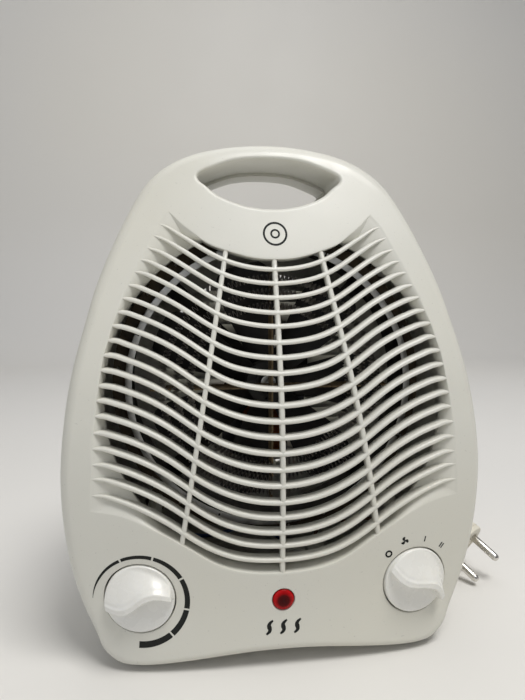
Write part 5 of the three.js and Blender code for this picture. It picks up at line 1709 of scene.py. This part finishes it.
def fan_blade(start):
    """Cambered blade whose root lies at angle start, with a rounded tip."""
    sections = []
    for radius in [*np.linspace(12.3, 65, 22), 66.8, 68.2, 69.1, 69.7, 69.97]:
        pitch = float(blade_pitch(radius))
        tip = math.sqrt(max(0.02, 1 - max(0.0, (radius - 64.0) / 6.0) ** 2 * 0.55))
        half = float(blade_chord(radius)) * tip
        across, rise = half * math.cos(pitch), min(5.4, half * math.sin(pitch))
        chord = np.linspace(-1, 1, 13)
        section = []
        for side, order in ((-1, chord), (1, chord[::-1])):
            for u in order:
                thick = 0.38 * (1 - 0.75 * u ** 6)
                y = 7.5 + u * rise + 0.55 * (1 - u * u) - 0.25 + side * thick
                angle = start + (u * across - side * thick * 0.7 * math.sin(pitch)) / radius
                section.append((radius * math.cos(angle), y,
                                AXIS_Z + radius * math.sin(angle)))
        sections.append(section)
    return sweep(sections)


def fan():
    """Hub, a cup open at the back, with seven blades."""
    hub = lathe([
        (0, 2.4), (4.2, 2.4), (4.6, 1.3), (5.2, 1.0), (6.6, 1.0), (7.2, 1.5), (11.2, 1.6),
        (12.4, 2.0), (HUB_R, 2.8), (HUB_R, FAN_BACK), (11.8, FAN_BACK), (11.8, 3.2),
        (4.6, 3.0), (4.4, 3.4), (4.4, 13.0), (0, 13.0)], 72)
    blades = [fan_blade(2 * math.pi * k / 7) for k in range(7)]
    cuts = [cylinder(1.9, -10, 30, 0, AXIS_Z, 32)]
    cuts += [cylinder(0.9, -10, 3.9, 9.2 * math.cos(t), AXIS_Z + 9.2 * math.sin(t), 16)
             for t in (0.4, 2.5, 4.6)]
    item = carve("fan_wheel_moulded", moved(hub, ON_AXIS), blades, cuts, "fan", sharp=34)
    register(item, "black_phenolic", "fan_impeller", rides="fan_rotor")


def fan_clip():
    """Dished washer with four slits from its bore."""
    profile = [(1.9, 1.5), (2.4, 1.6), (3.9, 1.3), (4.4, 1.0), (4.4, 0.5), (1.9, 0.6)]
    washer = lathe([(radius, FAN_FRONT - lead) for radius, lead in profile], 48)
    slits = [moved(box(1.0, 3.0, -4, 4, -0.3, 0.3), around(t)) for t in range(0, 360, 90)]
    item = carve("fan_push_clip", moved(washer, ON_AXIS), (), slits, "zinc")
    register(item, "screw_zinc", "fan_clip", rides="fan_rotor")


rotor()
spindle()
fan()
fan_clip()


# ------------------------------------------------------------------ supply
def cord_boot():
    """Sleeve where the cord leaves the rear cover, with a grooved, narrowing tail."""
    profile = [
        (3.8, 49.2), (4.0, 49.0), (8.2, 49.0), (8.6, 49.4), (8.6, 53.3), (8.3, 53.6),
        (5.9, 53.6), (5.9, 58.6), (7.5, 58.6), (7.8, 58.9), (7.8, 60.2), (6.2, 61.8)]
    for y in (63.0, 65.0, 67.0, 69.0):
        radius = 6.0 - 0.6 * (y - 62) / 9
        profile += [(radius, y - 0.5), (radius - 0.05, y), (radius - 0.75, y + 0.12),
                    (radius - 0.75, y + 0.72), (radius - 0.1, y + 0.85)]
    profile += [(5.4, 70.6), (5.1, 71.0), (4.0, 71.0), (3.8, 70.8)]
    boot = moved(lathe(profile, 64), shift(CORD_X, 0, CORD_Z))
    register(piece("cord_relief_boot", boot, "cord"), "cord_plastic", "strain_relief")


def plug_frame():
    """The plug's own frame: x across its pins, y along them, origin on its face."""
    along = np.array([0.5, -0.73, -0.47])
    along /= np.linalg.norm(along)
    across = np.array([0.71, 0.257, 0.656])
    across = across - across.dot(along) * along
    across /= np.linalg.norm(across)
    matrix = np.eye(4)
    matrix[:3, :] = np.stack([across, along, np.cross(across, along), (133, 16.5, 18.4)], 1)
    return matrix


PLUG = plug_frame()
PIN_X = 9.5
FLATTEN = 0.86  # the plug body's thickness over its width


def plug():
    flank = path([(5.2, -35.6), (6.4, -30), (10, -22), (14.6, -14), (16.8, -6.5)], 26)
    profile = [
        (0, -36), (4.9, -36), *map(tuple, flank), (17.15, -5.2), (17.3, -3.6),
        (16.95, -3.45), (16.95, -2.75), (17.3, -2.6), (17.3, -1.0), (17.0, -0.35), (16.3, 0),
        (12.6, 0), (12.4, -0.5), (0, -0.5)]
    # shallow grip grooves on the flank
    profile = [(radius - 0.32, y) if -20 < y < -8 and int((y + 20) / 0.9) % 3 == 1
               else (radius, y) for radius, y in profile]
    verts, faces = lathe(profile, 96)
    verts[:, 2] *= FLATTEN
    cuts = [moved(cylinder(3.75, -42, -30), PLUG)]
    cuts += [moved(cylinder(2.7, -8, 4), PLUG @ shift(side * PIN_X, 0, 0))
             for side in (-1, 1)]
    item = carve("mains_plug_body", moved((verts, faces), PLUG), (), cuts, "cord", sharp=34)
    register(item, "cord_plastic", "plug_body")

    pin = lathe([(0, -7.5), (2.2, -7.5), (2.4, -7.2), (2.4, -0.6), (2.32, -0.4), (2.32, 0.2),
                 (2.4, 0.4), (2.4, 16.4), (2.3, 17.2), (2.05, 17.95), (1.6, 18.5),
                 (1.0, 18.85), (0, 19.0)], 56)
    for i, side in enumerate((1, -1)):
        placed = moved(pin, PLUG @ shift(side * PIN_X, 0, 0))
        register(piece(f"mains_pin_{i + 1}", placed, "nickel"), "pin_nickel",
                 f"plug_pin_{i + 1}")


def cord():
    """Cord from the boot down to the floor and round into the plug."""
    route = [(45, 40, 24), (45, 52, 24), (45, 64, 24), (45, 73, 24), (47, 84, 19.5),
             (56, 94, 9.5), (70, 100, 4.2), (88, 100, 4.2), (101, 88, 13)]
    route += [tuple(transform([(0, y, 0)], PLUG)[0]) for y in (-54, -46, -38, -31)]
    verts, faces = rod(route, CORD_R, 300, 32)
    verts[:, 2] = np.maximum(verts[:, 2], 0.05)  # stays on the floor
    register(piece("mains_cord", (verts, faces), "cord", sharp=40), "cord_plastic",
             "power_cord")


def terminals():
    """Strip with two raised blocks, each bored from the back and from the top."""
    adds = [box(x, x + 11.6, 14.6, 25.4, 18, 25) for x in (13.2, 27.2)]
    cuts = [cylinder(2.0, 10, 30, x, 19.5, 32) for x in (19, 33)]
    cuts += [upright_cylinder(1.7, 21.8, 26, x, 20.0) for x in (19, 33)]
    item = carve("terminal_strip", box(12, 40, 14, 26, 14, 19.2), adds, cuts, "white")
    bevel(item, 0.35, 2)
    register(item, "ceramic_white", "terminal_block")


def wire(label, colour, count, route):
    register(piece(f"wire_{label}_pvc", rod(route, 1.1, count, 16), colour, sharp=40),
             f"wire_{colour}", f"wire_{label}")


cord_boot()
plug()
cord()
terminals()
wire("live", "brown", 90,
     [(33, 30, 19.5), (40, 34, 34), (52, 10, 44), (62, -8, 52), (66, -16.5, 48)])
wire("neutral", "blue", 110,
     [(19, 30, 19.5), (0, 36, 30), (-40, 10, 40), (-60, -10, 50), (-66, -19, 46)])

# ------------------------------------------------------------------ camera
scene = bpy.context.scene
CAMERA_PLACE = (-37.04, -287.92, 182.73)  # mm
CAMERA_FORWARD = Vector((0.11528, 0.98850, -0.09786))
CAMERA_RIGHT = Vector((0.99323, -0.11616, -0.00327))
CAMERA_UP = Vector((0.01460, 0.09682, 0.99520))

camera_data = bpy.data.cameras.new("camera")
camera_data.sensor_width, camera_data.lens = 36.0, 25.9714286  # mm
camera_data.clip_start, camera_data.clip_end = 0.01, 20.0
camera = bpy.data.objects.new("camera", camera_data)
scene.collection.objects.link(camera)
pose = Matrix((CAMERA_RIGHT, CAMERA_UP, -CAMERA_FORWARD)).transposed().to_4x4()
pose.translation = Vector(to_frame(CAMERA_PLACE))
camera.matrix_world = pose
scene.camera = camera


# ------------------------------------------------------------------ floor (metres)
def floor():
    """Floor that curves up into a wall behind the heater."""
    material = plastic("floor_pale", (0.74, 0.73, 0.71), rough=0.55, drift=0.012,
                       drift_scale=1.2, grain=0.05, grain_scale=300.0, gloss_spread=0.05,
                       edge=0.0)
    half_width, bend_y, bend_r, drop = 4.0, 1.1, 0.5, 0.0002
    profile = [(-3.0, 0.0), (bend_y, 0.0)]
    profile += [(bend_y + bend_r * math.sin(t), bend_r - bend_r * math.cos(t))
                for t in np.linspace(0, math.pi / 2, 14)[1:]]
    profile.append((bend_y + bend_r, 3.5))
    points = [(x, y, z - drop) for y, z in profile for x in (-half_width, half_width)]
    faces = [(i, i + 1, i + 3, i + 2) for i in range(0, 2 * len(profile) - 2, 2)]
    mesh = bpy.data.meshes.new("floor")
    mesh.from_pydata(points, [], faces)
    mesh.shade_smooth()
    item = bpy.data.objects.new("floor", mesh)
    scene.collection.objects.link(item)
    mesh.materials.append(material)


floor()


# ------------------------------------------------------------------ light (metres, watts)
def area_light(name, place, target, size, power, colour):
    light = bpy.data.lights.new(name, "AREA")
    light.shape, light.size, light.size_y = "RECTANGLE", size[0], size[1]
    light.energy, light.color = power, colour
    item = bpy.data.objects.new(name, light)
    scene.collection.objects.link(item)
    item.location = place
    item.rotation_mode = "QUATERNION"
    item.rotation_quaternion = (Vector(target) - Vector(place)).to_track_quat("-Z", "Y")


area_light("key", place=(0.42, -0.62, 1.75), target=(0, 0, 0.10), size=(0.75, 0.6),
           power=25.0, colour=(1.0, 0.985, 0.96))
area_light("fill", place=(-1.3, -1.2, 0.9), target=(0, 0, 0.12), size=(1.3, 1.2),
           power=4.5, colour=(0.97, 0.985, 1.0))
area_light("top", place=(-0.1, 0.55, 2.0), target=(0, 0.15, 0.1), size=(1.4, 1.0),
           power=6.0, colour=(1.0, 0.99, 0.97))

world = bpy.data.worlds.new("world")
scene.world = world
world.use_nodes = True
background = world.node_tree.nodes["Background"]
background.inputs["Color"].default_value = (0.93, 0.95, 1.0, 1)
background.inputs["Strength"].default_value = 0.24
scene.view_settings.view_transform = "Standard"
